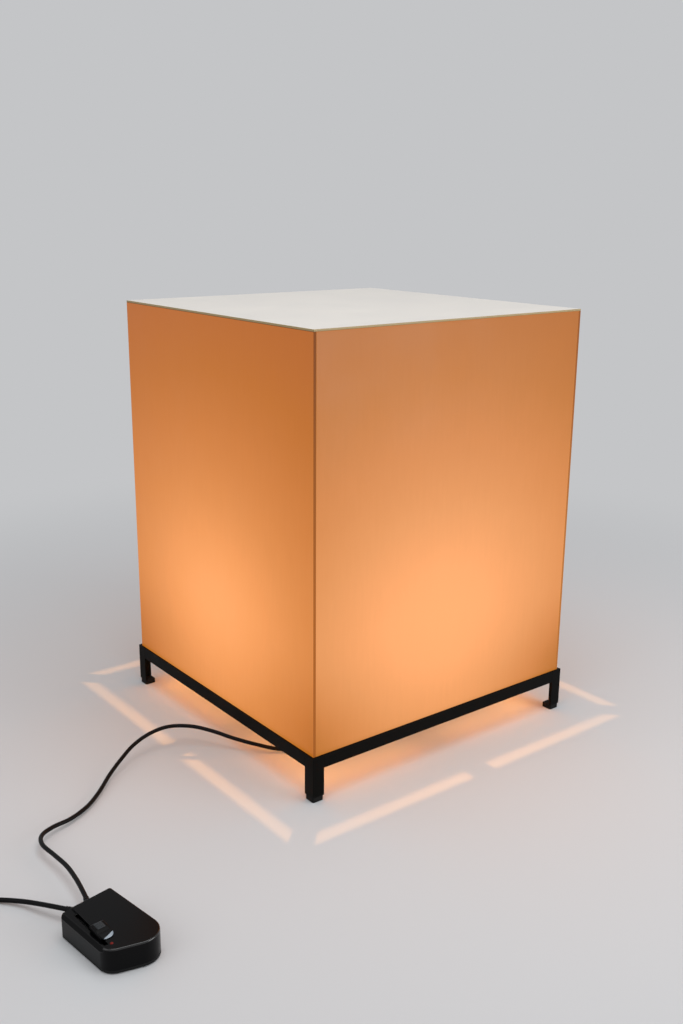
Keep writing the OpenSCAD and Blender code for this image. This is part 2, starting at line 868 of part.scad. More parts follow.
// soft collars in the back wall, each with a short cone outside
module dimmer_grommets() {
    color("#0e0e0e")
    on_floor()
    for (x = [lamp_side, mains_side])
        translate([x, 0, lead_z]) rotate([90, 0, 0])
        difference() {
            union() {
                translate([0, 0, -grommet_l]) cylinder(r1 = cord_r + 0.8, r2 = cord_r + 2.4, h = grommet_l);
                cylinder(r = cord_r + 1.5 - fit, h = dimmer_t + 1);
            }
            cylinder(r = cord_r + 0.1, h = dimmer_t + 2);
        }
}

// the held ends of both leads inside the dimmer
module dimmer_leads() {
    color("#101010")
    on_floor()
    for (lead = [[lamp_side, 0], [mains_side, mains_bend]]) {
        x = lead[0];
        aside = lead[1];
        translate([x, -0.2, lead_z]) rotate([90, 0, 0])
        cylinder(r = cord_r, h = -sheath_end - 0.2);
        for (s = [-1, 1]) tube(
            [
                [x + 1.6 * s, sheath_end, lead_z], [x + 1.6 * s + 0.1 * aside, sheath_end - 1.5, lead_z],
                [x + 1.6 * s + 0.9 * aside, block_y + 2, lead_z], [x + 1.6 * s + aside, block_y, lead_z],
                [x + 1.6 * s + aside, block_y - 5, lead_z]
            ],
            1, 8, [0, 0, 1]
        );
    }
}

module indicator() {
    color("#d8321e")
    on_floor()
    translate([led_at.x, led_at.y, 0]) {
        translate([0, 0, control_top - 2]) cylinder(r = led_r, h = dimmer_h - control_top + 1);
        translate([0, 0, dimmer_h - 1]) sphere(r = led_r);
    }
}

// thumb piece that lies on the flat top, with a foot in the groove beside it and a blade
// that reaches into the control; behind its round sloping front is a notch, then the ridges
module slider_knob() {
    low = dimmer_h + slide_gap;
    half = knob_l / 2;
    left = 0.4 - groove_w / 2;
    foot_w = groove_w - 1.2;
    front_r = 6.5;
    ridges = 6;
    color("#3b3c3e")
    on_floor() on_track(knob_at) {
        intersection() {
            translate([left, 0, low]) rotate([90, 0, 90]) linear_extrude(knob_w)
            polygon([
                [-half, 0], [half, 0], [half, knob_h - 2], [half - 2, knob_h], [1.5, knob_h],
                [-4, knob_h - 2.4], [-6, knob_h - 2.4], [-7.5, knob_h - 0.5], [-half, 0.6]
            ]);
            translate([left, -half, low - 1]) linear_extrude(knob_h + 2) {
                translate([0, front_r]) square([knob_w, knob_l]);
                translate([front_r, 0]) square([knob_w - 2 * front_r, knob_l]);
                for (x = [front_r, knob_w - front_r]) translate([x, front_r]) circle(front_r);
            }
        }
        for (k = [0:ridges - 1])
            translate([left + 1, half - 3 - k * 2, low + knob_h - 0.2])
            rotate([0, 90, 0]) cylinder(r = 0.7, h = knob_w - 2, $fn = 16);
        // foot that runs in the groove
        translate([-foot_w / 2, -half + 3, strip_z - groove_d + slide_gap])
        cube([foot_w, knob_l - 6, low - strip_z + groove_d - slide_gap + 1]);
        translate([-blade_w / 2, -blade_l / 2, control_top - 3])
        cube([blade_w, blade_l, low - control_top + 3]);
    }
}

// ---------- lead and plug ----------

module lamp_cord() {
    color("#101010")
    tube(
        concat(
            [[0, 0, grip_low]],
            smooth(lamp_route),
            [on_dimmer(lamp_side, grommet_l + 10, lead_z), on_dimmer(lamp_side, grommet_l, lead_z)]
        ),
        cord_r, 10, [0, 1, 0]
    );
}

module mains_cord() {
    color("#101010")
    tube(
        concat(
            [
                on_dimmer(mains_side, grommet_l, lead_z),
                on_dimmer(mains_side, grommet_l + 10, lead_z)
            ],
            smooth(mains_route),
            [coil_path[0] - 6 * coil_in_way, coil_path[0]]
        ),
        cord_r, 10, [0, 0, 1]
    );
}

module mains_coil() {
    color("#101010") tube(coil_path, cord_r, coil_sides, [0, 0, 1]);
}

module plug_cord() {
    last = coil_path[len(coil_path) - 1];
    color("#101010")
    tube(
        concat(
            [last, last + 6 * coil_out_way],
            plug_route,
            [plug_at + [0, 6, 0], plug_at]
        ),
        cord_r, 10, [0, 0, 1]
    );
}

// flat body that narrows to a round tail
module plug_body() {
    color("#101010")
    translate(plug_at) rotate([90, 0, 0])
    difference() {
        union() {
            hull() {
                for (x = [-1, 1]) translate([x * (plug_w - plug_t) / 2, 0, plug_tail + plug_l * 0.4])
                    cylinder(r = plug_t / 2, h = plug_l * 0.6, $fn = 32);
                translate([0, 0, plug_tail]) cylinder(r = plug_t / 2 - 1, h = 1, $fn = 32);
            }
            // round tail with its bending rings
            rotate_extrude() polygon(concat(
                [[0, plug_tail + 3], [0, 0]],
                [for (k = [0:tail_rings - 1], j = [0:3]) [
                    cord_r + 0.8 + (plug_t / 2 - 2.4 - cord_r) * (k + 0.5) / tail_rings
                        + (j == 1 || j == 2 ? 0.8 : 0),
                    (plug_tail - 1) * (k + j / 4) / tail_rings
                ]],
                [[plug_t / 2 - 1.6, plug_tail - 1], [plug_t / 2 - 1.6, plug_tail + 3]]
            ));
        }
        for (s = [-1, 1]) translate([s * pin_gap / 2, 0, plug_tail + plug_l - pin_root])
            cylinder(r = pin_root_r, h = pin_root + 2);
    }
}

module plug_pins() {
    color("#b8a05a")
    translate(plug_at) rotate([90, 0, 0])
    for (s = [-1, 1]) translate([s * pin_gap / 2, 0, plug_tail + plug_l]) {
        translate([0, 0, -pin_root]) cylinder(r = pin_root_r, h = pin_root + 1);
        cylinder(r = pin_r, h = pin_l - pin_tip);
        translate([0, 0, pin_l - pin_tip]) cylinder(r1 = pin_r, r2 = pin_r - 1, h = pin_tip);
    }
}

// ---------- the nodes ----------

for (i = [0:3]) {
    at_place(i) leg();
    at_place(i) foot_pad();
    at_place(i) rail();
}
cross_bar_long();
cross_bar_half();  // cross_bar_front
rotate(180) cross_bar_half();  // cross_bar_back
base_plate();
plate_screws();
plate_nuts();
threaded_tube();
tube_nuts();
tube_washer();
cord_grip();
lead_in();
holder_cap();
holder_core();
holder_skirt();
screw_shell();
centre_contact();
bulb_cap();
bulb_contact();
bulb_glass();
bulb_stem();
bulb_filament();
shade_end_wall();  // shade_front
rotate(180) shade_side_wall();  // shade_right
rotate(180) shade_end_wall();  // shade_back
shade_side_wall();  // shade_left
shade_top();
dimmer_base();
dimmer_housing();
dimmer_feet();
dimmer_screws();
dimmer_board();
slide_control();
heat_sink();
choke();
capacitor();
terminal_block();
lead_clamps();
dimmer_grommets();
dimmer_leads();
indicator();
slider_knob();
lamp_cord();
mains_cord();
mains_coil();
plug_cord();
plug_body();
plug_pins();
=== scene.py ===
"""Dressed model of a column floor lamp.

A tall box shade of opal acrylic sheet stands loose in a low tray of stove-enamelled
steel angle on four short legs. A bulb in the middle of the base lights the sheets from
inside, and a slide dimmer lies in the lead. Metres, +Z up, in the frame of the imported
part, whose origin is on the floor under the middle of the shade.
"""

import logging
from collections.abc import Callable, Iterable, Sequence
from dataclasses import dataclass, replace
from enum import Enum
from functools import cache, cached_property
from math import copysign, cos, pi, radians, sin, sqrt, tau

import bmesh
import bpy
from mathutils import Matrix, Vector


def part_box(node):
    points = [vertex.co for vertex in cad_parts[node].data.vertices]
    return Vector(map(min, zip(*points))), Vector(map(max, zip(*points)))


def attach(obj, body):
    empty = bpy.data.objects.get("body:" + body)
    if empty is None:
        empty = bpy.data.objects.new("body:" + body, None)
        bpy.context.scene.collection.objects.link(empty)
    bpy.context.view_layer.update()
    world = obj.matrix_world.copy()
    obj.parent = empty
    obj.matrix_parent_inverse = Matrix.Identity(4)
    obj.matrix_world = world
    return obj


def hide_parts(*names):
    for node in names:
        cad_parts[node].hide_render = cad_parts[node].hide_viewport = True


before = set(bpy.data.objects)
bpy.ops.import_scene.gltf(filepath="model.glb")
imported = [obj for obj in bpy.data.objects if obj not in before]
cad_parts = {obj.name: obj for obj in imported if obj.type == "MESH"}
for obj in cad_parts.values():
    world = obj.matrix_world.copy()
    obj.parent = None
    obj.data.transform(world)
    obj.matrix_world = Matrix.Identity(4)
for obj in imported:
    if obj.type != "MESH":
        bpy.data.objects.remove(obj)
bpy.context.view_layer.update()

LOG = logging.getLogger("floor_lamp")
MM = 0.001
Flat = tuple[float, float]
Point = tuple[float, float, float]
Ring = list[Point]
Shape = bmesh.types.BMesh
Piece = bpy.types.Object
Material = bpy.types.Material
Tree = bpy.types.NodeTree
Node = bpy.types.Node
Socket = bpy.types.NodeSocket
MATH, VECTOR, NOISE = "ShaderNodeMath", "ShaderNodeVectorMath", "ShaderNodeTexNoise"
RANGE, RAMP = "ShaderNodeMapRange", "ShaderNodeValToRGB"


class Body(Enum):
    """The rigid bodies that a piece can ride on."""

    FRAME = "frame"
    SHADE = "shade"
    SLIDER = "slider"


# ---------------------------------------------------------------- node trees


def linear(colour: str, share: float = 1.0) -> tuple[float, float, float, float]:
    """Turn an sRGB hex colour into the linear values that Blender's sockets hold.

    Args:
        colour: Six hex digits with a leading hash.
        share: How much of it is left in a darker shade.

    Returns:
        Linear red, green and blue, and full opacity.
    """
    values = [int(colour[at : at + 2], 16) / 255 for at in (1, 3, 5)]
    lit = [c / 12.92 if c <= 0.04045 else ((c + 0.055) / 1.055) ** 2.4 for c in values]
    return (*(c * share for c in lit), 1.0)


def add(
    tree: Tree, kind: str, links: dict | Sequence = (), stops: Sequence = (), **settings: object
) -> Node:
    """Add one node with its settings, values and links.

    Args:
        tree: Tree that gets the node.
        kind: The node's bl_idname.
        links: Input name to a value, a node or an output; a sequence fills the inputs
            in their order.
        stops: Level and linear colour of each stop, where the node blends colours.
        **settings: Attributes of the node itself.

    Returns:
        The new node.
    """
    node = tree.nodes.new(kind)
    for name, value in settings.items():
        setattr(node, name, value)
    for key, value in links.items() if isinstance(links, dict) else enumerate(links):
        if isinstance(value, Node):
            value = value.outputs[0]
        if isinstance(value, Socket):
            tree.links.new(value, node.inputs[key])
        else:
            node.inputs[key].default_value = value
    marks = node.color_ramp.elements if stops else ()
    while len(marks) < len(stops):
        marks.new(0.5)
    for mark, (place, colour) in zip(marks, stops):
        mark.position, mark.color = place, colour
    return node


def cleared(owner: bpy.types.ID) -> Tree:
    """Empty the node tree of a material, world or light.

    Args:
        owner: What has the tree.

    Returns:
        The tree, with nothing in it yet.
    """
    owner.use_nodes = True
    owner.node_tree.nodes.clear()
    return owner.node_tree


# ------------------------------------------------------------------ finishes


@dataclass(frozen=True)
class Finish:
    """A surface finish: a Principled shader whose roughness and relief vary finely.

    Attributes:
        name: Common name of the material and how its surface was made.
        colour: sRGB hex colour.
        rough: Typical roughness.
        spread: How far the roughness wanders either way.
        grain_mm: Size of the surface grain.
        relief_mm: Height of the grain.
        metallic: 1 for bare metal.
        ior: Index of refraction, which a metal leaves at the default.
        tint: How far the colour varies towards its darker shade.
        gloss: Specular level, lower where paint or rubber drinks in the light.
        light: sRGB hex colour of light of its own.
        strength: Strength of that light.
        cloud_mm: Size of the slow cloud in colour and roughness.
        cloudy: Levels of the cloud between which both change.
    """

    name: str
    colour: str
    rough: float = 0.5
    spread: float = 0.06
    grain_mm: float = 1.0
    relief_mm: float = 0.02
    metallic: float = 0.0
    ior: float = 1.5
    tint: float = 0.08
    gloss: float = 0.5
    light: str = "#FFFFFF"
    strength: float = 0.0
    cloud_mm: float = 1000 / 14
    cloudy: Flat = (0.3, 0.7)

    @cache
    def material(self) -> Material:
        """Build the material, once for each finish."""
        made = bpy.data.materials.new(self.name)
        tree = cleared(made)
        place = add(tree, "ShaderNodeTexCoord").outputs["Object"]
        cloud, grain = (
            add(tree, NOISE, {"Vector": place, "Scale": s, "Detail": d, "Roughness": r})
            for s, d, r in (
                (1 / (self.cloud_mm * MM), 4.0, 0.55), (1 / (self.grain_mm * MM), 3.0, 0.6)
            )
        )
        shades = zip(self.cloudy, (linear(self.colour, 1 - self.tint), linear(self.colour)))
        ends = (self.rough - self.spread, self.rough + self.spread)
        depth = self.relief_mm * MM
        varied = {
            "Base Color": add(tree, RAMP, (cloud,), list(shades)),
            "Roughness": add(tree, RANGE, (cloud, *self.cloudy, *ends)),
            "Normal": add(
                tree, "ShaderNodeBump", {"Height": grain, "Strength": 1.0, "Distance": depth}
            ),
        }
        even = {
            "Base Color": linear(self.colour),
            "Metallic": self.metallic,
            "IOR": self.ior,
            "Specular IOR Level": self.gloss,
            "Emission Color": linear(self.light),
            "Emission Strength": self.strength,
        }
        shader = add(tree, "ShaderNodeBsdfPrincipled", even)
        for name, node in varied.items():
            tree.links.new(node.outputs[0], shader.inputs[name])
        add(tree, "ShaderNodeOutputMaterial", (shader,))
        self.shine(tree, place, shader)
        return made

    def shine(self, tree: Tree, place: Socket, shader: Node) -> None:
        """Leave the light as it is, the same all over."""


@dataclass(frozen=True)
class LitSheet(Finish):
    """Opal sheet or glass with a filament behind it.

    The filler scatters the light, so the sheet is brightest where it is nearest to the
    bulb and falls off with the distance, faster upwards than sideways, because the
    walls beside it throw light back. It darkens towards the two lower corners.

    Attributes:
        strength: Emission strength.
        hot_mm: Height of the brightest spot.
        hot_x_mm: How far the bulb stands beside the middle of the sheet.
        rise_mm: Distance above and below it at which the light falls off.
        side_mm: Distance beside it at which the light falls off.
        wall_mm: Distance from the lamp's axis to the sheet.
        corner: Share of the light that is lost in the lower corners.
        corner_mm: Heights between which that loss fades.
        uneven: Places per metre, detail, upright stretch and swing of the filler, which
            is never quite even, and of the faint upright streaks that it settles in.
        glow: Light level to the colour that comes through.
    """

    strength: float = 1.0
    hot_mm: float = 225.0
    hot_x_mm: float = 0.0
    rise_mm: float = 162.0
    side_mm: float = 212.0
    wall_mm: float = 256.0
    corner: float = 0.3
    corner_mm: Flat = (70.0, 240.0)
    uneven: tuple[tuple[float, ...], ...] = ((22.0, 5.0, 1.0, 0.04), (160.0, 3.0, 0.1, 0.06))
    glow: tuple[tuple[float, str], ...] = ()

    def shine(self, tree: Tree, place: Socket, shader: Node) -> None:
        """Let the bulb's light come through.

        Args:
            tree: Material tree.
            place: Object coordinates.
            shader: Principled shader.
        """
        side, rise, wall = self.side_mm * MM, self.rise_mm * MM, self.wall_mm * MM
        middle = (self.hot_x_mm * MM, 0.0, self.hot_mm * MM)
        away = add(tree, VECTOR, (place, middle), operation="SUBTRACT")
        away = add(tree, VECTOR, (away, (1 / side, 1 / side, 1 / rise)), operation="MULTIPLY")
        away = add(tree, VECTOR, (away, away), operation="DOT_PRODUCT").outputs["Value"]
        away = add(tree, MATH, (away, 1 - (wall / side) ** 2), operation="ADD")
        level = add(tree, MATH, (away, -0.5), operation="POWER")
        # the two lower corners are far from the bulb and lie behind the tray
        aside = add(tree, VECTOR, (place, (1 / wall, 1 / wall, 0.0)), operation="MULTIPLY")
        aside = add(tree, VECTOR, (aside, aside), operation="DOT_PRODUCT").outputs["Value"]
        aside = add(tree, MATH, (aside, 1.0), operation="SUBTRACT")
        height = add(tree, "ShaderNodeSeparateXYZ", (place,)).outputs["Z"]
        low, high = (z * MM for z in self.corner_mm)
        near = add(tree, RANGE, (height, low, high, 1.0, 0.0), interpolation_type="SMOOTHSTEP")
        lost = add(tree, MATH, (aside, near), operation="MULTIPLY")
        lost = add(tree, MATH, (lost, -self.corner), operation="MULTIPLY")
        shares = [add(tree, MATH, (lost, 1.0), operation="ADD")]
        for scale, detail, stretch, swing in self.uneven:
            spot = add(tree, VECTOR, (place, (1.0, 1.0, stretch)), operation="MULTIPLY")
            sizes = {"Vector": spot, "Scale": scale, "Detail": detail, "Roughness": 0.6}
            span = (add(tree, NOISE, sizes), swing, 1 - swing / 2)
            shares.append(add(tree, MATH, span, operation="MULTIPLY_ADD"))
        for share in shares:
            level = add(tree, MATH, (level, share), operation="MULTIPLY")
        stops = [(at, linear(shade)) for at, shade in self.glow]
        colour = add(tree, RAMP, (level,), stops)
        tree.links.new(colour.outputs[0], shader.inputs["Emission Color"])


# stove enamel on hot-rolled angle: a thick satin black coat with a faint orange peel
STOVE_ENAMEL = Finish(
    "stove enamelled steel, satin black", "#050504", 0.5, 0.07, 2.2, 0.02, gloss=0.06
)
# white enamel on sheet steel, rolled and sprayed, slightly warm
WHITE_ENAMEL = Finish("enamelled sheet steel, white", "#E4E0D8", 0.4, 0.06, 1.6, 0.012)
# light level to the colour that comes through the walls
AMBER = (
    (0.3, "#965218"), (0.34, "#9F5817"), (0.405, "#A86017"), (0.51, "#BA6F2C"),
    (0.69, "#D08341"), (0.9, "#EA9855"), (1.0, "#F3A15F"),
)
# cast acrylic, amber where the bulb's light has to come through it
OPAL_WALL = LitSheet(
    "cast opal acrylic, lit", "#7A4016", 0.38, 0.04, 0.9, 0.004,
    ior=1.49, tint=0.04, gloss=0.3, glow=AMBER,
)
# and through the front, a little paler with painted light of the room
AMBER_WITH_PAINTED_ROOM_LIGHT = (
    (0.3, "#86500C"), (0.34, "#905610"), (0.405, "#9E6220"), (0.51, "#B7763C"),
    (0.69, "#D08E56"), (0.9, "#EBA167"), (1.0, "#F3A56A"),
)
# the front sheet's amber is painted a little paler, as painted light of the room falling on it
OPAL_FRONT = replace(
    OPAL_WALL, name="cast opal acrylic, lit, front", hot_x_mm=-20.0, glow=AMBER_WITH_PAINTED_ROOM_LIGHT
)
# the sawn and scraped edge of a sheet sends out far less light than its face
OPAL_EDGE = LitSheet(
    "cast opal acrylic, sawn edge", "#5A3012", 0.5, 0.05, 0.6, 0.03, ior=1.49, corner=0.0,
    gloss=0.12, glow=((0.3, "#5E300C"), (0.45, "#7C4616"), (0.7, "#9C581E")),
)
# the edge of the right sheet is given a brighter glow than the sawn ones
OPAL_RIM = replace(
    OPAL_EDGE,
    name="cast opal acrylic, brighter edge",
    glow=((0.3, "#7A4618"), (0.45, "#925824"), (0.7, "#B07030")),
)
# the inner faces glow with painted light of the bulb, several times as bright as the light that
# comes through, and they light the floor through the slots
OPAL_INSIDE = LitSheet(
    "cast opal acrylic, inner face with painted bulb light", "#B87F4A", 0.38, 0.04, 0.9, 0.004, ior=1.49, tint=0.04,
    corner=0.0, strength=2.8, glow=((0.3, "#A8742E"), (0.6, "#D8A04E"), (1.0, "#FFC26C")),
)
# the lid is the same sheet, seen by the light of the room
OPAL_LID = Finish(
    "cast opal acrylic, lid", "#E3DDD5", 0.34, 0.05, 0.9, 0.004, ior=1.49, tint=0.03
)
# the lid's sawn edge is dull, darker and yellower than its face
LID_EDGE = Finish("cast opal acrylic, lid edge", "#A48E62", 0.5, 0.05, 0.6, ior=1.49)
# rubber from the mould is dull, with hardly a highlight
FOOT_RUBBER = Finish("moulded rubber, black", "#0C0C0C", 0.75, 0.05, 0.8, 0.03, gloss=0.2)
# the thin plate keeps the steel's shine, a little clouded
ZINC = Finish("bright zinc plate on steel", "#B4B3AE", 0.34, 0.08, 0.7, 0.006, 1.0)
# pressed hot in a polished mould, glossy and nearly black
PHENOLIC = Finish(
    "phenolic moulding, black", "#100E0E", 0.34, 0.05, 1.2, 0.006, ior=1.6, gloss=0.3
)
# soft PVC comes out of the die with a faint ripple and a greasy sheen
SHEATH = Finish(
    "extruded PVC sheath, black", "#060608", 0.42, 0.06, 1.4, 0.012, ior=1.53, gloss=0.12
)
# fired without a glaze, so it looks chalky and matt
STEATITE = Finish("pressed steatite, unglazed", "#E2DDD0", 0.7, 0.05, 0.5)
# the die burnishes the sheet, which shines warm
BRASS = Finish("stamped brass", "#C8A24E", 0.28, 0.06, 0.9, 0.006, 1.0)
# drawn thin, pale with a soft shine
CAP_ALUMINIUM = Finish("pressed aluminium", "#BDBBB4", 0.32, 0.06, 0.8, 0.006, 1.0)
# a drop of black glass that set smooth and shiny
VITRITE = Finish("pressed black glass, bulb's insulator", "#0E0E10", 0.15, 0.04, 0.8, 0.01)
# the pearl inside spreads the filament's light over the whole round of the glass
PEARL_GLASS = LitSheet(
    "blown glass, frosted inside", "#D8BFA0", 0.24, 0.05, 0.8, 0.002,
    hot_mm=172.0, rise_mm=26.0, side_mm=400.0, wall_mm=20.0, corner=0.0,
    glow=((0.4, "#C07838"), (0.7, "#F5AE68"), (0.9, "#FFD9A4"), (1.0, "#FFEBC8")),
)
# drawn glass is smooth and mirrors what glows beside it
STEM_GLASS = Finish("drawn lead glass", "#C8D0D0", 0.1, 0.03, 0.8, 0.002, ior=1.56)
# white-hot wire looks orange beside the pearl glass
TUNGSTEN = Finish("tungsten wire, glowing", "#FFB46E", 0.4, light="#FFB46E", strength=6.0)
# the shell is polished in the mould, so it mirrors the room along its rounded rims
ABS_SHELL = Finish(
    "moulded ABS, polished black", "#040405", 0.2, 0.04, 1.8, 0.003, ior=1.54, gloss=0.1
)
# where the mould closes the rim is buffed, and it catches a line of light
ABS_RIM = replace(ABS_SHELL, name="moulded ABS, buffed rim", rough=0.14, gloss=0.6)
# the spark-eroded mould leaves an even, matt grain
ABS_BASE = Finish("moulded ABS, spark-eroded black", "#0C0C0D", 0.55, grain_mm=0.5, gloss=0.2)
# a fine grain with a faint shine, a shade greyer than the shell
ABS_KNOB = Finish(
    "moulded ABS, dark grey", "#070708", 0.34, 0.05, 0.8, 0.006, ior=1.54, gloss=0.08
)
# the ridges are painted grey, a painted highlight where their tops catch the light
RIDGE_HIGHLIGHT = Finish(
    "moulded ABS, ridges with painted highlight", "#3C3F42", 0.45, 0.06, 0.7, 0.01, ior=1.54, gloss=0.15
)
# the right front of the knob's slope is painted pale bluish white, a painted highlight
KNOB_FRONT_HIGHLIGHT = Finish(
    "moulded ABS, front with painted highlight", "#86929E", 0.16, 0.04, 0.9, 0.003, ior=1.54
)
# deep red and smooth, with a faint light of its own
RED_LENS = Finish(
    "clear red polycarbonate", "#5A0A06", 0.2, 0.03, gloss=0.2, light="#FF2A12", strength=0.05
)
# green lacquer with an even, low shine
BOARD = Finish("glass-fibre board, solder mask", "#2C5A3C", 0.35, 0.05, 0.5)
# bare rolled sheet, bright with a cloudy shine
SINK = Finish("bent aluminium sheet", "#AEB2B4", 0.35, 0.08, 0.7, 0.008, 1.0)
# the turns of the winding show as coarse relief
WINDING = Finish("lacquered copper winding", "#A5683A", 0.35, 0.06, 0.8, 0.15)
# a thick dipped coat, ochre and glossy
FILM = Finish("dipped film capacitor", "#B89F3C", 0.3, 0.05, 1.4, 0.01)
# left undyed, milky with a soft sheen
POLYAMIDE = Finish("moulded polyamide, natural", "#DAD8CE", 0.5, 0.05, 0.9, 0.01)


# -------------------------------------------------------------------- meshes


def set_up(name: str, data: bpy.types.ID) -> Piece:
    """Put data in the scene as an object at the origin.

    Args:
        name: Name of the object.
        data: Mesh, curve, light or camera.

    Returns:
        The linked object.
    """
    made = bpy.data.objects.new(name, data)
    bpy.context.scene.collection.objects.link(made)
    return made


def new_object(name: str, shape: Shape, materials: Iterable[Material]) -> Piece:
    """Turn a mesh under construction into an object.

    Args:
        name: Name of the piece.
        shape: Mesh, which is freed.
        materials: One material per material index.

    Returns:
        The linked object.
    """
    data = bpy.data.meshes.new(name)
    shape.to_mesh(data)
    shape.free()
    for material in materials:
        data.materials.append(material)
    return set_up(name, data)


def smooth(shape: Shape, crease: float = 35.0) -> None:
    """Shade smoothly, with sharp edges where the faces turn more than crease degrees.

    Args:
        shape: Mesh to shade.
        crease: Angle in degrees.
    """
    for face in shape.faces:
        face.smooth = True
    for edge in shape.edges:
        turn = edge.calc_face_angle(pi)
        edge.smooth = len(edge.link_faces) == 2 and turn < radians(crease)


def skin(rings: Sequence[Ring], closed: bool = False) -> Shape:
    """Join rings of the same number of points into a closed skin.

    Args:
        rings: Rings of points, from one end to the other.
        closed: Whether the last ring joins the first, as on a torus.

    Returns:
        The mesh, with its ends filled unless closed.
    """
    shape = bmesh.new()
    verts = [[shape.verts.new(p) for p in ring] for ring in rings]
    for low, high in list(zip(verts, verts[1:])) + ([(verts[-1], verts[0])] if closed else []):
        for i in range(len(low)):
            j = (i + 1) % len(low)
            shape.faces.new((low[i], low[j], high[j], high[i]))
    if not closed:
        shape.faces.new(verts[0][::-1])
        shape.faces.new(verts[-1])
    bmesh.ops.recalc_face_normals(shape, faces=shape.faces)
    return shape


def turned(profile: Sequence[Flat], sides: int = 96) -> Shape:
    """Turn a closed half section about the Z axis, in millimetres.

    Args:
        profile: Radius and height of each corner; points on the axis close the shape.
        sides: Number of sides.

    Returns:
        The turned solid, in metres.
    """
    shape, near, count = bmesh.new(), 1e-6, len(profile)
    corners = [shape.verts.new((r * MM, 0.0, z * MM)) for r, z in profile]
    edges = [
        shape.edges.new((corners[i], corners[(i + 1) % count]))
        for i in range(count)
        if max(profile[i][0], profile[(i + 1) % count][0]) >= near
    ]
    bmesh.ops.spin(
        shape, geom=corners + edges, cent=(0, 0, 0), axis=(0, 0, 1), angle=tau, steps=sides,
        use_duplicate=False,
    )
    bmesh.ops.remove_doubles(shape, verts=shape.verts, dist=near)
    bmesh.ops.dissolve_degenerate(shape, dist=0.1 * near, edges=shape.edges)
    bmesh.ops.recalc_face_normals(shape, faces=shape.faces)
    return shape


def ring_of(reach: Callable[[float], float], height: float, sides: int = 48) -> Ring:
    """Draw a level ring about the Z axis, from millimetres.

    Args:
        reach: Gives the radius at an angle.
        height: Height of the ring.
        sides: Number of points.

    Returns:
        The ring, in metres.
    """
    out = []
    for a in (tau * k / sides for k in range(sides)):
        r = reach(a) * MM
        out.append((r * cos(a), r * sin(a), height * MM))
    return out


def circle(radius: float, height: float, sides: int = 48) -> Ring:
    """Draw a level circle about the Z axis, in metres, from millimetres."""
    return ring_of(lambda _: radius, height, sides)


def threaded(
    low: Sequence[Flat], high: Sequence[Flat], radius: float, crest: float, pitch: float,
    sides: int = 48,
) -> Shape:
    """Make a turned wall with a rolled or cut screw thread round it, in millimetres.

    Args:
        low: Radius and height from the bore's lower end out to the thread.
        high: Radius and height from the thread back to the bore's upper end.
        radius: Mean radius of the thread.
        crest: Height of the crests above it.
        pitch: Distance from crest to crest.
        sides: Number of sides.

    Returns:
        The wall, in metres.
    """
    start, end = low[-1][1], high[0][1]
    rows = round((end - start) / pitch * 8)
    rings = [circle(r, z, sides) for r, z in low]
    for z in (start + (end - start) * k / rows for k in range(1, rows)):
        rise = crest * min(1.0, (z - start) / pitch * 2, (end - z) / pitch * 2)
        rings.append(ring_of(lambda a: radius + rise * sin(tau * z / pitch - a), z, sides))
    return skin(rings + [circle(r, z, sides) for r, z in high], closed=True)


def joined(shapes: Iterable[Shape]) -> Shape:
    """Join meshes under construction, and free them.

    Args:
        shapes: Meshes to join.

    Returns:
        One mesh with all of them.
    """
    whole = bmesh.new()
    for shape in shapes:
        part = bpy.data.meshes.new("part")
        shape.to_mesh(part)
        shape.free()
        whole.from_mesh(part)
        bpy.data.meshes.remove(part)
    return whole


def moved(shape: Shape, place: Matrix) -> Shape:
    """Move a mesh under construction, and hand it back."""
    bmesh.ops.transform(shape, matrix=place, verts=shape.verts)
    return shape


def shift(x: float, y: float, z: float) -> Matrix:
    """Give a shift by millimetres."""
    return Matrix.Translation(Vector((x, y, z)) * MM)


def block(low: Point, high: Point) -> Shape:
    """Make a square block.

    Args:
        low: Its lowest corner, in millimetres.
        high: Its highest corner.

    Returns:
        The block, in metres.
    """
    shape = bmesh.new()
    size = (Vector(high) - Vector(low)) * MM
    place = Matrix.Translation((Vector(high) + Vector(low)) / 2 * MM)
    bmesh.ops.create_cube(shape, size=1.0, matrix=place @ Matrix.Diagonal((*size, 1.0)))
    return shape


def cad_shape(node: str) -> Shape:
    """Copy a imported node's mesh, with its loose triangles merged into flat faces.

    Args:
        node: Name of the node.

    Returns:
        The merged copy.
    """
    shape = bmesh.new()
    shape.from_mesh(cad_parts[node].data)
    bmesh.ops.remove_doubles(shape, verts=shape.verts, dist=1e-6)
    flat = radians(0.5)
    bmesh.ops.dissolve_limit(shape, angle_limit=flat, verts=shape.verts, edges=shape.edges)
    return shape


def soften(piece: Piece, width_mm: float, segments: int = 3, angle: float = 50.0) -> None:
    """Round a piece's sharp edges a little, in its last material.

    Args:
        piece: Piece to round.
        width_mm: Width of the rounding.
        segments: Facets across it.
        angle: Edges that turn less, in degrees, stay as they are.
    """
    bevel = piece.modifiers.new("rounded edges", "BEVEL")
    bevel.width = width_mm * MM
    bevel.segments = segments
    bevel.limit_method = "ANGLE"
    bevel.angle_limit = radians(angle)
    bevel.material = len(piece.data.materials) - 1
    piece.modifiers.new("flat broad faces", "WEIGHTED_NORMAL").keep_sharp = True
    for face in piece.data.polygons:
        face.use_smooth = True


def settle(piece: Piece, slot: str, *replaced: str, body: Body = Body.FRAME) -> Piece:
    """Put a finished piece on its body and tell what it stands for.

    Args:
        piece: Finished piece.
        slot: Material slot of the record; not used.
        *replaced: Nodes that it replaces.
        body: Body that it rides on.

    Returns:
        The same piece.
    """
    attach(piece, body.value)
    if replaced:
        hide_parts(*replaced)
    LOG.info("%s rides on %s for %s", piece.name, body.value, ", ".join(replaced) or "nothing")
    return piece


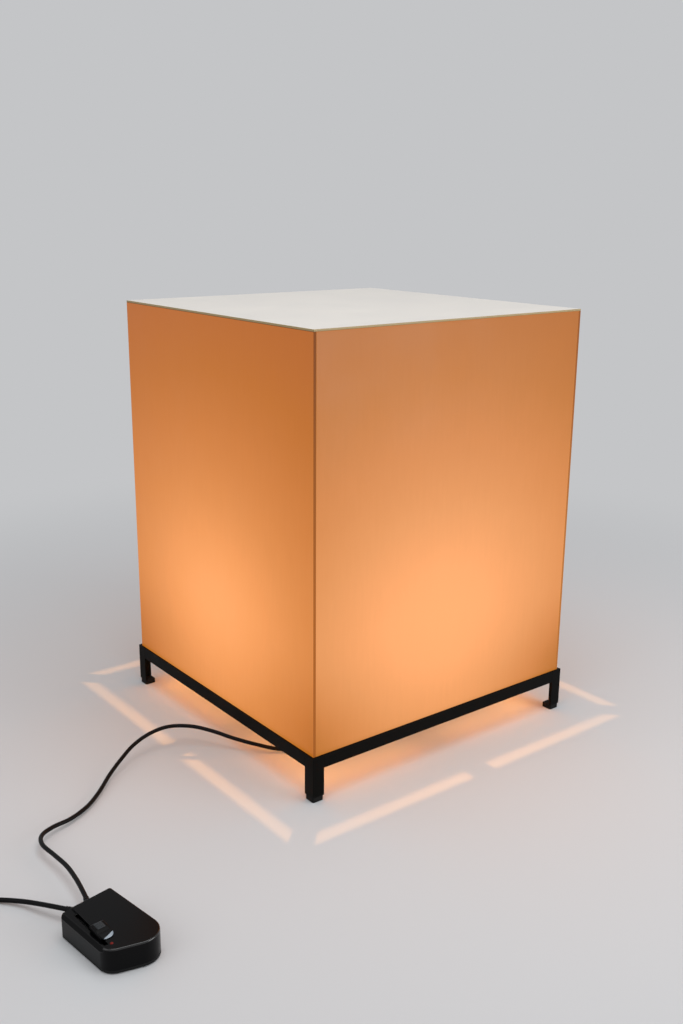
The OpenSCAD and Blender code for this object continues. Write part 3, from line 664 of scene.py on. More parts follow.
def make(
    name: str, shape: Shape, finishes: Sequence[Finish], slot: str, *replaced: str,
    body: Body = Body.FRAME, crease: float = 35.0,
) -> Piece:
    """Shade a drawn piece, dress it and put it on its body.

    Args:
        name: Name of the piece.
        shape: Its mesh.
        finishes: One finish per material index.
        slot: Material slot of the record.
        *replaced: Nodes that it replaces.
        body: Body that it rides on.
        crease: Angle in degrees past which an edge looks sharp.

    Returns:
        The finished piece.
    """
    smooth(shape, crease)
    piece = new_object(name, shape, [finish.material() for finish in finishes])
    return settle(piece, slot, *replaced, body=body)


def softened(node: str, name: str, finish: Finish, slot: str, width_mm: float) -> None:
    """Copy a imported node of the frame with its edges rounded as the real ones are.

    Args:
        node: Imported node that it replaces.
        name: Name of the piece.
        finish: Finish of the piece.
        slot: Material slot of the record.
        width_mm: Width of the rounding.
    """
    piece = new_object(name, cad_shape(node), [finish.material()])
    soften(piece, width_mm)
    settle(piece, slot, node)


def dress(finish: Finish, *nodes: str) -> None:
    """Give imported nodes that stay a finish.

    Args:
        finish: Finish to use.
        *nodes: Names of the nodes.
    """
    for name in nodes:
        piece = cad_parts[name]
        if not piece.material_slots:
            piece.data.materials.append(None)
        for slot in piece.material_slots:
            slot.material = finish.material()
        LOG.info("%s keeps its packed shape, in %s", name, finish.name)


# ------------------------------------------------------------ geometry nodes


class Recipe:
    """A geometry node tree for what repeats or follows a path."""

    def __init__(
        self, name: str, sizes: dict[str, str], fill: Callable[[Tree, dict], Node]
    ) -> None:
        """Build the tree, which ends in Realize Instances and Set Material.

        Args:
            name: Name of the tree.
            sizes: Name and kind of each size that goes in.
            fill: Adds the nodes between the inputs and the end, and gives the last one.
        """
        self.tree = bpy.data.node_groups.new(name, "GeometryNodeTree")
        inputs = {"Shape": "Geometry", **sizes, "Finish": "Material"}
        self.keys = {
            size: self.tree.interface.new_socket(
                size, in_out="INPUT", socket_type=f"NodeSocket{kind}"
            ).identifier
            for size, kind in inputs.items()
        }
        self.tree.interface.new_socket(
            "Shape", in_out="OUTPUT", socket_type="NodeSocketGeometry"
        )
        given = add(self.tree, "NodeGroupInput").outputs
        real = add(self.tree, "GeometryNodeRealizeInstances", (fill(self.tree, given),))
        ends = {"Geometry": real, "Material": given["Finish"]}
        dressed = add(self.tree, "GeometryNodeSetMaterial", ends)
        add(self.tree, "NodeGroupOutput", (dressed,))

    def run(self, piece: Piece, finish: Finish, **sizes: object) -> Piece:
        """Run the tree on a piece and keep the result as a plain mesh.

        Args:
            piece: Object whose shape goes in.
            finish: Finish of the result.
            **sizes: Input name to value.

        Returns:
            A mesh object with the result, of the same name.
        """
        work = piece.modifiers.new(self.tree.name, "NODES")
        work.node_group = self.tree
        for name, value in {**sizes, "Finish": finish.material()}.items():
            work[self.keys[name]] = value
        bpy.context.view_layer.update()
        seen = piece.evaluated_get(bpy.context.evaluated_depsgraph_get())
        data = bpy.data.meshes.new_from_object(seen)
        name = piece.name
        bpy.data.objects.remove(piece)
        data.name = name
        return set_up(name, data)


def turn_round(tree: Tree, given: dict) -> Node:
    """Set copies of the shape round the Z axis, each turned with its place.

    Args:
        tree: Tree to fill.
        given: What goes in.

    Returns:
        The node with the copies.
    """
    index = add(tree, "GeometryNodeInputIndex")
    share = add(tree, MATH, (index, given["Count"]), operation="DIVIDE")
    turn = add(tree, MATH, (share, tau), operation="MULTIPLY")
    way = [add(tree, MATH, (turn,), operation=part) for part in ("COSINE", "SINE")]
    out = {0: add(tree, "ShaderNodeCombineXYZ", way), "Scale": given["Radius"]}
    place = add(tree, VECTOR, out, operation="SCALE")
    points = add(tree, "GeometryNodePoints", {"Count": given["Count"], "Position": place})
    euler = add(tree, "ShaderNodeCombineXYZ", {2: turn})
    facing = add(tree, "FunctionNodeEulerToRotation", (euler,))
    copies = {"Points": points, "Instance": given["Shape"], "Rotation": facing}
    return add(tree, "GeometryNodeInstanceOnPoints", copies)


def line_up(tree: Tree, given: dict) -> Node:
    """Set copies of the shape in a straight row.

    Args:
        tree: Tree to fill.
        given: What goes in.

    Returns:
        The node with the copies.
    """
    line = add(tree, "GeometryNodeMeshLine", {"Count": given["Count"], "Offset": given["Step"]})
    copies = {"Points": line, "Instance": given["Shape"]}
    return add(tree, "GeometryNodeInstanceOnPoints", copies)


def sheathe(tree: Tree, given: dict) -> Node:
    """Run a round lead with closed ends along the curve.

    Args:
        tree: Tree to fill.
        given: What goes in.

    Returns:
        The node with the lead.
    """
    half = add(tree, MATH, (given["Diameter"], 0.5), operation="MULTIPLY")
    sizes = {"Resolution": given["Sides"], "Radius": half}
    section = add(tree, "GeometryNodeCurvePrimitiveCircle", sizes)
    run = {"Curve": given["Shape"], "Profile Curve": section, "Fill Caps": True}
    body = add(tree, "GeometryNodeCurveToMesh", run)
    return add(tree, "GeometryNodeSetShadeSmooth", {"Geometry": body})


RING = Recipe("ring of copies", {"Count": "Int", "Radius": "Float"}, turn_round)
ROW = Recipe("row of copies", {"Count": "Int", "Step": "Vector"}, line_up)
LEAD = Recipe("round lead", {"Diameter": "Float", "Sides": "Int"}, sheathe)


def ring_set(
    name: str, shape: Shape, finish: Finish, count: int, radius: float, slot: str,
    *replaced: str, crease: float = 35.0,
) -> None:
    """Set copies of a drawn piece round the lamp's axis, as one piece.

    Args:
        name: Name of the piece.
        shape: Mesh of one copy, at the axis.
        finish: Its finish.
        count: Number of copies.
        radius: Their distance from the axis, in millimetres.
        slot: Material slot of the record.
        *replaced: Nodes that it replaces.
        crease: Angle in degrees past which an edge looks sharp.
    """
    smooth(shape, crease)
    seed = new_object(name, shape, [finish.material()])
    settle(RING.run(seed, finish, Count=count, Radius=radius * MM), slot, *replaced)


# -------------------------------------------------------------------- studio


@dataclass
class Studio:
    """Camera, pale floor and soft light, in metres and degrees.

    Attributes:
        eye: Place of the camera.
        azimuth: How far the camera stands round from the front.
        elevation: How far it looks down.
        roll: How far the picture is turned.
        lens: Focal length on a 36 mm long side.
        pale: Colour of the background.
        lit_floor: Colour of the floor, which the lamps bring down to the background's.
        floor_r: Radius of the floor.
        fade: Distances between which it runs into the background.
        sky_colour: Colour of the light from all round.
        ambient: Strength of that light.
        aim: What the softboxes face.
        softboxes: Place, length of the sides and power of each softbox.
        bulb: Height, radius and power of the bulb's light.
        bulb_colour: Its colour.
    """

    eye: Point = (-1.0820, -1.3771, 0.8261)
    azimuth: float = -37.90
    elevation: float = 15.80
    roll: float = 0.446
    lens: float = 38.37
    pale: str = "#C4C5C7"
    lit_floor: str = "#CFD0D2"
    floor_r: float = 14.0
    fade: Flat = (0.6, 1.7)
    sky_colour: str = "#F4F6F8"
    ambient: float = 0.55
    aim: Point = (0.0, 0.0, 0.35)
    softboxes: tuple[tuple[str, Point, float, float], ...] = (
        ("softbox_over", (-0.2, -0.5, 2.3), 1.8, 21.0),
        ("softbox_right", (1.0, -2.1, 0.6), 1.4, 24.0),
        ("softbox_left", (-2.2, -0.2, 1.3), 1.4, 5.0),
    )
    bulb: Point = (0.168, 0.006, 38.0)
    bulb_colour: str = "#FFB060"

    def camera(self) -> None:
        """Stand the camera where the photograph was taken."""
        az, el, tilt = (radians(a) for a in (self.azimuth, self.elevation, self.roll))
        back = Vector((sin(az) * cos(el), -cos(az) * cos(el), sin(el)))
        right = (-back).cross(Vector((0, 0, 1))).normalized()
        up = right.cross(-back)
        side, top = cos(tilt) * right + sin(tilt) * up, -sin(tilt) * right + cos(tilt) * up
        data = bpy.data.cameras.new("camera")
        data.lens, data.sensor_width, data.sensor_fit = self.lens, 36.0, "AUTO"
        data.clip_end = 60.0
        stand = set_up("camera", data)
        rows = [(side[i], top[i], back[i], self.eye[i]) for i in range(3)]
        stand.matrix_world = Matrix([*rows, (0, 0, 0, 1)])
        bpy.context.scene.camera = stand

    def floor(self) -> None:
        """Lay a wide pale floor that fades into the background."""
        shape = bmesh.new()
        bmesh.ops.create_circle(shape, cap_ends=True, segments=96, radius=self.floor_r)
        paint = bpy.data.materials.new("matt painted studio floor")
        tree = cleared(paint)
        place = add(tree, "ShaderNodeTexCoord").outputs["Object"]
        away = add(tree, VECTOR, (place,), operation="LENGTH").outputs["Value"]
        far = add(tree, RANGE, (away, *self.fade), interpolation_type="SMOOTHSTEP")
        matt = add(tree, "ShaderNodeBsdfDiffuse", (linear(self.lit_floor),))
        pale = add(tree, "ShaderNodeEmission", (linear(self.pale),))
        mixed = add(tree, "ShaderNodeMixShader", (far, matt, pale))
        add(tree, "ShaderNodeOutputMaterial", (mixed,))
        new_object("studio_floor", shape, [paint])

    def sky(self) -> None:
        """Light from all round, with the pale background for the camera."""
        world = bpy.context.scene.world = bpy.data.worlds.new("studio")
        tree = cleared(world)
        path = add(tree, "ShaderNodeLightPath").outputs
        seen = path["Is Camera Ray"]
        for ray in ("Is Glossy Ray", "Is Transmission Ray"):
            seen = add(tree, MATH, (seen, path[ray]), operation="MAXIMUM")
        lit = add(tree, "ShaderNodeBackground", (linear(self.sky_colour), self.ambient))
        pale = add(tree, "ShaderNodeBackground", (linear(self.pale), 1.0))
        mixed = add(tree, "ShaderNodeMixShader", (seen, lit, pale))
        add(tree, "ShaderNodeOutputWorld", (mixed,))

    def softbox(self, name: str, place: Point, size: float, watts: float) -> None:
        """Hang a square softbox that faces the lamp.

        Args:
            name: Name of the light.
            place: Where it hangs.
            size: Length of its sides.
            watts: Power.
        """
        data = bpy.data.lights.new(name, "AREA")
        data.size, data.energy = size, watts
        lamp = set_up(name, data)
        lamp.location = place
        way = Vector(self.aim) - Vector(place)
        lamp.rotation_euler = way.to_track_quat("-Z", "Y").to_euler()

    def bulb_light(self) -> None:
        """Light the tray and, through the slots beside the plate, the floor."""
        height, radius, watts = self.bulb
        data = bpy.data.lights.new("bulb_light", "POINT")
        data.energy, data.shadow_soft_size = watts, radius
        data.color = linear(self.bulb_colour)[:3]
        # the same at any distance, so that the plate close to it isn't burnt out
        tree = cleared(data)
        even = add(tree, "ShaderNodeLightFalloff", {"Strength": 1.0}).outputs["Constant"]
        shine = add(tree, "ShaderNodeEmission", {"Strength": even})
        add(tree, "ShaderNodeOutputLight", (shine,))
        lamp = set_up("bulb_light", data)
        lamp.location = (0.0, 0.0, height)
        lamp.visible_camera = False

    def build(self) -> None:
        """Set up everything that isn't part of the lamp."""
        self.camera()
        self.floor()
        self.sky()
        for box in self.softboxes:
            self.softbox(*box)
        self.bulb_light()
        bpy.context.scene.view_settings.view_transform = "Standard"


# ---------------------------------------------------------------------- lead


@dataclass
class Lead:
    """The round mains lead with its dimmer end, coil and plug, in millimetres.

    Attributes:
        radius: Radius of the lead.
        sides: Number of its sides.
        dimmer_at: Middle of the dimmer's back edge.
        dimmer_turn: Degrees that the dimmer is turned.
        lead_z: Height of both leads at the dimmer.
        collar: How far a grommet stands out of the dimmer.
        lamp_side: Place of the lamp's lead along the dimmer's back edge.
        mains_side: Place of the mains lead along it.
        grip_low: Lower end of the grip under the base plate.
        lamp_route: Route of the lamp's lead.
        mains_route: Route from the dimmer to the coil.
        plug_route: Route from the coil to the plug.
        coil_at: Middle of the coil.
        layer_turns: Turns beside each other.
        coil_length: Turns in all.
        coil_start: Angle where the lead reaches the coil.
        pitch: Distance of the turns.
        inner: Radius of the innermost turn.
        plug_at: Where the lead ends in the plug's tail.
        relief_l: Length of a strain relief.
        relief_wall: Its wall at the dimmer, taper to the far end, and depth of a ring.
        relief_rings: Number of rings, and the share of the length before the first.
    """

    radius: float = 3.0
    sides: int = 18
    dimmer_at: Flat = (-633.2, -314.3)
    dimmer_turn: float = 9.0
    lead_z: float = 15.0
    collar: float = 5.0
    lamp_side: float = 12.0
    mains_side: float = -9.0
    grip_low: float = 32.0
    lamp_route: tuple[Point, ...] = (
        (0, 0, 30), (-3, -2.5, 17.6), (-11, -9.2, 7.4), (-22.1, -18.4, 3.7), (-52, -45, 3.2),
        (-84, -73, 3.2), (-152, -116, 3.2), (-184, -120, 4), (-214, -106, 7), (-240, -82, 13),
        (-264, -55, 20), (-285, -26, 27), (-308, 0, 31.5), (-338, 17, 33), (-370, 19, 30),
        (-402, 11, 24), (-432, -6, 17), (-462, -28, 11), (-492, -56, 7), (-522, -81, 6),
        (-555, -99, 7), (-586, -109, 10), (-608, -124, 13), (-617, -148, 15), (-615, -180, 16),
        (-613, -215, 17), (-615.2, -247, 17), (-618.5, -271, 16.5), (-621.3, -288, 15.7),
    )
    mains_route: tuple[Point, ...] = (
        (-647.6, -295.5, 14.8), (-656, -282.5, 14.2), (-665, -266, 12), (-674, -249, 9.2),
        (-684, -232.5, 6.4), (-699, -215, 4.4), (-719, -198, 3.6),
    )
    plug_route: tuple[Point, ...] = ((-812, -237, 14.4), (-810, -256, 11), (-807.5, -273, 8.4))
    coil_at: Flat = (-771.0, -209.0)
    layer_turns: int = 3
    coil_length: float = 6.352
    coil_start: float = 53.13
    pitch: float = 6.6
    inner: float = 24.0
    plug_at: Point = (-806, -290, 7.2)
    relief_l: float = 24.0
    relief_wall: Point = (2.3, 1.6, 0.35)
    relief_rings: Flat = (6, 0.15)

    def on_dimmer(self, x: float, y: float) -> Point:
        """Give a place on the dimmer in the lamp's frame, at the height of the leads."""
        (mid_x, mid_y), c, s = self.dimmer_at, *self.facing()
        return (mid_x + x * c - y * s, mid_y + x * s + y * c, self.lead_z)

    def facing(self) -> Flat:
        """Give the cosine and the sine of the dimmer's turn."""
        return cos(radians(self.dimmer_turn)), sin(radians(self.dimmer_turn))

    @staticmethod
    def flow(points: Sequence[Point], parts: int = 6) -> list[Vector]:
        """Run one smooth curve through the points.

        Args:
            points: Points of the route.
            parts: Pieces that each run is divided into.

        Returns:
            Points of the curve.
        """
        p = [Vector(q) for q in points]
        out = []
        for i in range(len(p) - 1):
            a, b, c, d = p[max(i - 1, 0)], p[i], p[i + 1], p[min(i + 2, len(p) - 1)]
            square, cube = 2 * a - 5 * b + 4 * c - d, 3 * b - a - 3 * c + d
            for t in (k / parts for k in range(parts)):
                out.append(0.5 * (2 * b + (c - a) * t + square * t * t + cube * t**3))
        return out + [p[-1]]

    def coil(self, rings: int = 48) -> list[Vector]:
        """Wind the coil: a layer inwards on the floor, one outwards on top, and so on.

        Args:
            rings: Points to a turn.

        Returns:
            Points of the coil.
        """

        def climb(t: float) -> float:
            """Ease from one layer to the next within half a turn."""
            s = min(max(2 * t + 0.5, 0.0), 1.0)
            return s * s * (3 - 2 * s)

        out, steps, layer = [], round(self.coil_length * rings), self.layer_turns
        for t in (self.coil_length * i / steps for i in range(steps + 1)):
            angle = radians(self.coil_start + 360 * t)
            r = self.inner + self.pitch * abs(layer - t % (2 * layer))
            z = self.radius + 0.2 + self.pitch * (climb(t - layer) + climb(t - 2 * layer))
            x, y = self.coil_at[0] + r * cos(angle), self.coil_at[1] + r * sin(angle)
            out.append(Vector((x, y, z)))
        return out

    @cached_property
    def lamp_line(self) -> list[Vector]:
        """The lamp's lead from the grip to the dimmer, in metres."""
        ends = [self.on_dimmer(self.lamp_side, self.collar + d) for d in (10, 0)]
        return [p * MM for p in self.flow([(0, 0, self.grip_low), *self.lamp_route, *ends])]

    @cached_property
    def mains_line(self) -> list[Vector]:
        """The mains lead from the dimmer through the coil to the plug, in metres."""
        wound = self.coil()

        def way(turns: float) -> Vector:
            """Give the lead's heading after some turns."""
            a = radians(self.coil_start + 360 * turns)
            return Vector((-sin(a), cos(a), 0.0))

        start = [self.on_dimmer(self.mains_side, self.collar + d) for d in (0, 10)]
        before = [wound[0] - k * self.radius * way(0) for k in (4, 2)]
        after = [wound[-1] + k * self.radius * way(self.coil_length) for k in (2, 4)]
        first = self.flow([*start, *self.mains_route, *before, wound[0]])
        tail = Vector(self.plug_at) + Vector((0, 6, 0))
        last = self.flow([wound[-1], *after, *self.plug_route, tail, self.plug_at])
        return [p * MM for p in first[:-1] + wound + last[1:]]

    def run_lead(self, name: str, line: Sequence[Vector], *replaced: str) -> Piece:
        """Run a round lead along a line.

        Args:
            name: Name of the piece.
            line: Points in metres.
            *replaced: Nodes that it replaces.

        Returns:
            The lead, as a mesh.
        """
        data = bpy.data.curves.new(name, "CURVE")
        data.dimensions, data.twist_mode = "3D", "MINIMUM"
        spline = data.splines.new("POLY")
        spline.points.add(len(line) - 1)
        for point, place in zip(spline.points, line):
            point.co = (*place, 1.0)
        sizes = {"Diameter": 2 * self.radius * MM, "Sides": self.sides}
        return settle(LEAD.run(set_up(name, data), SHEATH, **sizes), "cord_sheath", *replaced)

    def relief(self, name: str, line: Sequence[Vector]) -> Piece:
        """Mould a ringed strain relief round the first stretch of a lead.

        Args:
            name: Name of the piece.
            line: The lead's line, from the dimmer on.

        Returns:
            The strain relief.
        """
        way = (line[0] - line[3]).normalized()
        stretch = [line[0] + way * self.collar * MM, *line]
        wall, taper, depth = self.relief_wall
        count, plain = self.relief_rings
        rings, steps, marks = [], 64, [0.0]
        for a, b in zip(stretch, stretch[1:]):
            marks.append(marks[-1] + (b - a).length)
        for i in range(steps + 1):
            share = i / steps
            s = self.relief_l * MM * i / steps
            k = max(j for j in range(len(marks) - 1) if marks[j] <= s + 1e-9)
            run, t = stretch[k + 1] - stretch[k], (s - marks[k]) / (marks[k + 1] - marks[k])
            centre, heading = stretch[k].lerp(stretch[k + 1], t), run.normalized()
            side = heading.cross(Vector((0, 0, 1))).normalized()
            rise = side.cross(heading)
            groove = depth * (0.5 - 0.5 * cos(tau * count * share)) if share > plain else 0.0
            r = (self.radius + wall - taper * share - groove) * MM
            if i == steps:
                r = (self.radius + 0.25) * MM
            turns = (tau * j / 32 for j in range(32))
            rings.append([tuple(centre + r * (cos(a) * side + sin(a) * rise)) for a in turns])
        return make(name, skin(rings), [SHEATH], "cord_sheath", crease=60)


# --------------------------------------------------------------------- shade


@dataclass
class Shade:
    """Four walls and a lid of opal sheet, glued edge to face.

    Attributes:
        edge_mm: Scraping of the sheets' edges.
        looks: Finish of each wall's outer face and of its edges.
    """

    edge_mm: float = 0.5
    looks: tuple[tuple[str, Finish, Finish], ...] = (
        ("front", OPAL_FRONT, OPAL_FRONT),
        ("right", OPAL_WALL, OPAL_RIM),
        ("back", OPAL_WALL, OPAL_WALL),
        ("left", OPAL_WALL, OPAL_EDGE),
    )

    def sheet(self, node: str, name: str, slot: str, face: Finish, edge: Finish) -> None:
        """Make one sheet with its two broad faces and its sawn edges told apart.

        Args:
            node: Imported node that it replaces.
            name: Name of the piece.
            slot: Material slot of the record.
            face: Finish of the outer face.
            edge: Finish of the edges.
        """
        shape = cad_shape(node)
        low, high = (Vector(corner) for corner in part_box(node))
        thin = min(range(3), key=lambda axis: (high - low)[axis])
        out = 1 if thin == 2 or (low + high)[thin] > 0 else -1
        for side in shape.faces:
            turn = side.normal[thin] * out
            side.material_index = 0 if turn > 0.5 else 1 if turn < -0.5 else 2
        piece = new_object(name, shape, [f.material() for f in (face, OPAL_INSIDE, edge)])
        soften(piece, self.edge_mm, 2)
        settle(piece, slot, node, body=Body.SHADE)

    def build(self) -> None:
        """Make all five sheets."""
        for side, face, edge in self.looks:
            self.sheet(f"shade_{side}", f"sheet_{side}", "opal_sheet", face, edge)
        self.sheet("shade_top", "sheet_lid", "opal_top", OPAL_LID, LID_EDGE)


# --------------------------------------------------------------------- frame


def hexagon_nut(flats: float, bore: float, height: float, low: float) -> Shape:
    """Make a hexagon nut with chamfered corners and bore, in millimetres.

    Args:
        flats: Width across the flats.
        bore: Radius of the thread.
        height: Thickness.
        low: Height of its underside.

    Returns:
        The nut, in metres.
    """

    def hexagon(limit: float, z: float) -> Ring:
        """Cut the hexagon by a circle."""
        third = pi / 3
        return ring_of(
            lambda a: min(flats / 2 / cos((a + third / 2) % third - third / 2), limit), z
        )

    wide, face, high, edge = flats / sqrt(3), flats / 2 - 0.1, low + height, 0.4
    rings = [
        circle(bore, low + edge), circle(bore + edge, low), hexagon(face, low),
        hexagon(wide, low + 0.5), hexagon(wide, high - 0.5), hexagon(face, high),
        circle(bore + edge, high), circle(bore, high - edge),
    ]
    return skin(rings, closed=True)


@dataclass
class Tray:
    """The welded frame of steel angle with its pads, cross and base plate.

    Attributes:
        corners: Corners of the frame, in the nodes' order.
        sides: Sides of the frame.
        screw_at: Distance of the plate screws from the middle, in mm.
        screw_r: Radius of the screws, in mm.
    """

    corners: tuple[str, ...] = ("front_left", "front_right", "back_right", "back_left")
    sides: tuple[str, ...] = ("front", "right", "back", "left")
    screw_at: float = 150.0
    screw_r: float = 2.0

    def fasteners(self) -> None:
        """Put domed socket screws through the plate, with a hexagon nut under each."""
        low, top = (corner[2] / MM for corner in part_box("plate_screws"))
        plate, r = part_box("base_plate")[1][2] / MM, self.screw_r
        head_r, socket_r, socket, rim = 1.9 * r, 0.8 * r, 1.1, 0.25
        dome = [
            (head_r * cos(a), plate + rim + (top - plate - rim) * sin(a))
            for a in (radians(d) for d in range(0, 76, 8))
        ]
        screw = turned(
            [(0, low), (r - 0.3, low), (r, low + 0.3), (r, plate), (head_r, plate), *dome]
            + [(socket_r, top), (socket_r, top - socket), (0, top - socket)],
            32,
        )
        where = (ZINC, 4, self.screw_at, "zinc_steel")
        ring_set("plate_screw_set", screw, *where, "plate_screws")
        low, high = (corner[2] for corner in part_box("plate_nuts"))
        nut = hexagon_nut(3.5 * r, r, (high - low) / MM, low / MM)
        ring_set("plate_nut_set", nut, *where, "plate_nuts", crease=25)

    def build(self) -> None:
        """Make the whole tray."""
        steel = (STOVE_ENAMEL, "black_steel", 0.35)
        for corner in self.corners:
            softened(f"leg_{corner}", f"post_{corner}", *steel)
            softened(f"pad_{corner}", f"foot_{corner}", FOOT_RUBBER, "pad_rubber", 0.8)
        for side in self.sides:
            softened(f"rail_{side}", f"angle_{side}", *steel)
        for bar in ("long", "front", "back"):
            softened(f"cross_bar_{bar}", f"flat_bar_{bar}", *steel)
        softened("base_plate", "plate", WHITE_ENAMEL, "white_plate", 0.3)
        self.fasteners()


# ------------------------------------------------------- lampholder and bulb


@dataclass
class Lampholder:
    """Screw lampholder on its threaded tube, in millimetres.

    Attributes:
        tube_r: Radius of the tube's thread.
        tube_bore: Radius of its bore.
        tube_ends: Heights of the tube's ends.
        nut_lows: Undersides of the two nuts.
        nut_h: Thickness of a nut.
        ledge_z: Height of the bars' underside, which the washer lies against.
        grip: Outline of the cord grip, radius and height.
        low: Underside of the holder.
        joint: Height where the skirt is screwed on the cap.
        high: Upper rim of the skirt.
        radius: Outer radius of the skirt.
        wall: Wall of the mouldings.
        collar: Radius of the cap's neck.
        thread_r: Radius of the cap's inner thread.
        shell: Heights of the screw shell's ends.
        shell_r: Mean radius of its rolled thread.
        pitch: Pitch of the bulb's thread.
    """

    tube_r: float = 5.0
    tube_bore: float = 3.6
    tube_ends: Flat = (45.0, 72.0)
    nut_lows: Flat = (50.0, 58.5)
    nut_h: float = 3.0
    ledge_z: float = 54.0
    grip: tuple[Flat, ...] = (
        (5.05, 49.0), (5.05, 45.0), (3.1, 45.0), (3.1, 32.4), (3.5, 32.0), (4.2, 32.0),
        (4.7, 32.6), (7.0, 38.0), (8.3, 38.9), (8.5, 39.5), (8.5, 48.2), (7.7, 49.0),
    )
    low: float = 62.0
    joint: float = 86.0
    high: float = 118.0
    radius: float = 20.0
    wall: float = 2.0
    collar: float = 10.0
    thread_r: float = 17.55
    shell: Flat = (88.0, 108.0)
    shell_r: float = 13.95
    pitch: float = 3.6

    def fixing(self) -> None:
        """Make the threaded tube with its nuts, washer and cord grip."""
        r, bore, (low, high), depth = self.tube_r, self.tube_bore, self.tube_ends, 0.25
        fit, steel = r + 0.05, ([ZINC], "zinc_steel")
        root, lead_in = r - depth, r - 3 * depth
        tube = threaded(
            [(bore, low + 0.4), (bore + 0.3, low), (lead_in, low), (root, low + 0.5)],
            [(root, high - 0.5), (lead_in, high), (bore + 0.3, high), (bore, high - 0.4)],
            root, depth, 1.0,
        )
        make("fixing_tube", tube, *steel, "threaded_tube")
        nuts = joined(hexagon_nut(2.8 * r, fit, self.nut_h, z) for z in self.nut_lows)
        make("fixing_nuts", nuts, *steel, "tube_nuts", crease=25)
        z, out = self.ledge_z, 2 * r
        washer = turned(
            [(fit, z - 1), (out - 0.2, z - 1), (out, z - 0.8), (out, z - 0.15)]
            + [(out - 0.15, z), (fit, z)],
            64,
        )
        make("fixing_washer", washer, *steel, "tube_washer")
        nose = turned(self.grip, 64)
        make("lead_grip", nose, [PHENOLIC], "black_moulding", "cord_grip", crease=40)
        self.ribs("lead_grip_ribs", (40.2, 47.4), 8.45, 0.35, 20)

    def ribs(self, name: str, ends: Flat, at: float, rib: float, count: int) -> None:
        """Put half-round grip ribs round a moulding.

        Args:
            name: Name of the piece.
            ends: Heights of the ribs' ends.
            at: Radius of the ribs' middle line.
            rib: Radius of a rib.
            count: Number of ribs.
        """
        low, high = ends
        tip = [(0.35, 0.0), (0.8, 0.25 * rib), (1.0, rib)]
        marks = [(k, low + z) for k, z in tip] + [(k, high - z) for k, z in tip[::-1]]
        shape = skin([circle(rib * k, z, 10) for k, z in marks])
        ring_set(name, shape, PHENOLIC, count, at, "black_moulding", crease=180)

    def mouldings(self) -> None:
        """Make the domed cap and the ribbed skirt."""
        low, joint, high, r = self.low, self.joint, self.high, self.radius
        rim, collar, inner, fit = r - 0.8, self.collar, self.thread_r, self.tube_r + 0.05
        dome = [
            (collar + (rim - collar) * sin(a), joint - 10 - 9 * cos(a))
            for a in (radians(d) for d in range(10, 91, 10))
        ]
        cap = turned(
            [(fit, low), (collar - 0.8, low), (collar - 0.2, low + 0.2), (collar, low + 0.8)]
            + [(collar, low + 4.5), *dome, (rim, joint - 0.4), (rim - 0.4, joint), (inner, joint)]
            + [(inner, low + 15), (15.0, low + 12.6), (collar - 1, low + 9), (fit, low + 9)]
        )
        make("holder_lower_half", cap, [PHENOLIC], "black_moulding", "holder_cap")
        bore = r - self.wall
        skirt = turned(
            [(bore, joint), (r - 0.4, joint), (r, joint + 0.4), (r, high - 1.0)]
            + [(r - 0.3, high - 0.3), (r - 1.0, high), (bore + 0.6, high), (bore, high - 0.6)]
        )
        make("holder_upper_half", skirt, [PHENOLIC], "black_moulding", "holder_skirt")
        self.ribs("holder_ribs", (joint + 4, high - 4), r - 0.05, 0.6, 24)

    def contacts(self) -> None:
        """Make the core, the rolled screw shell and the spring tongue."""
        softened("holder_core", "core", STEATITE, "core_ceramic", 0.4)
        softened("centre_contact", "tongue", BRASS, "contact_brass", 0.12)
        (low, high), bore, r = self.shell, self.shell_r - 0.35, self.shell_r + 0.1
        shell = threaded(
            [(bore, low), (r, low), (r, low + 1)],
            [(r, high - 1.4), (r + 0.35, high - 0.4), (r + 0.35, high), (self.shell_r, high)]
            + [(bore, high - 1.4)],
            r, 0.3, self.pitch, 64,
        )
        make("rolled_shell", shell, [BRASS], "contact_brass", "screw_shell")

    def build(self) -> None:
        """Make the whole holder."""
        self.fixing()
        self.mouldings()
        self.contacts()


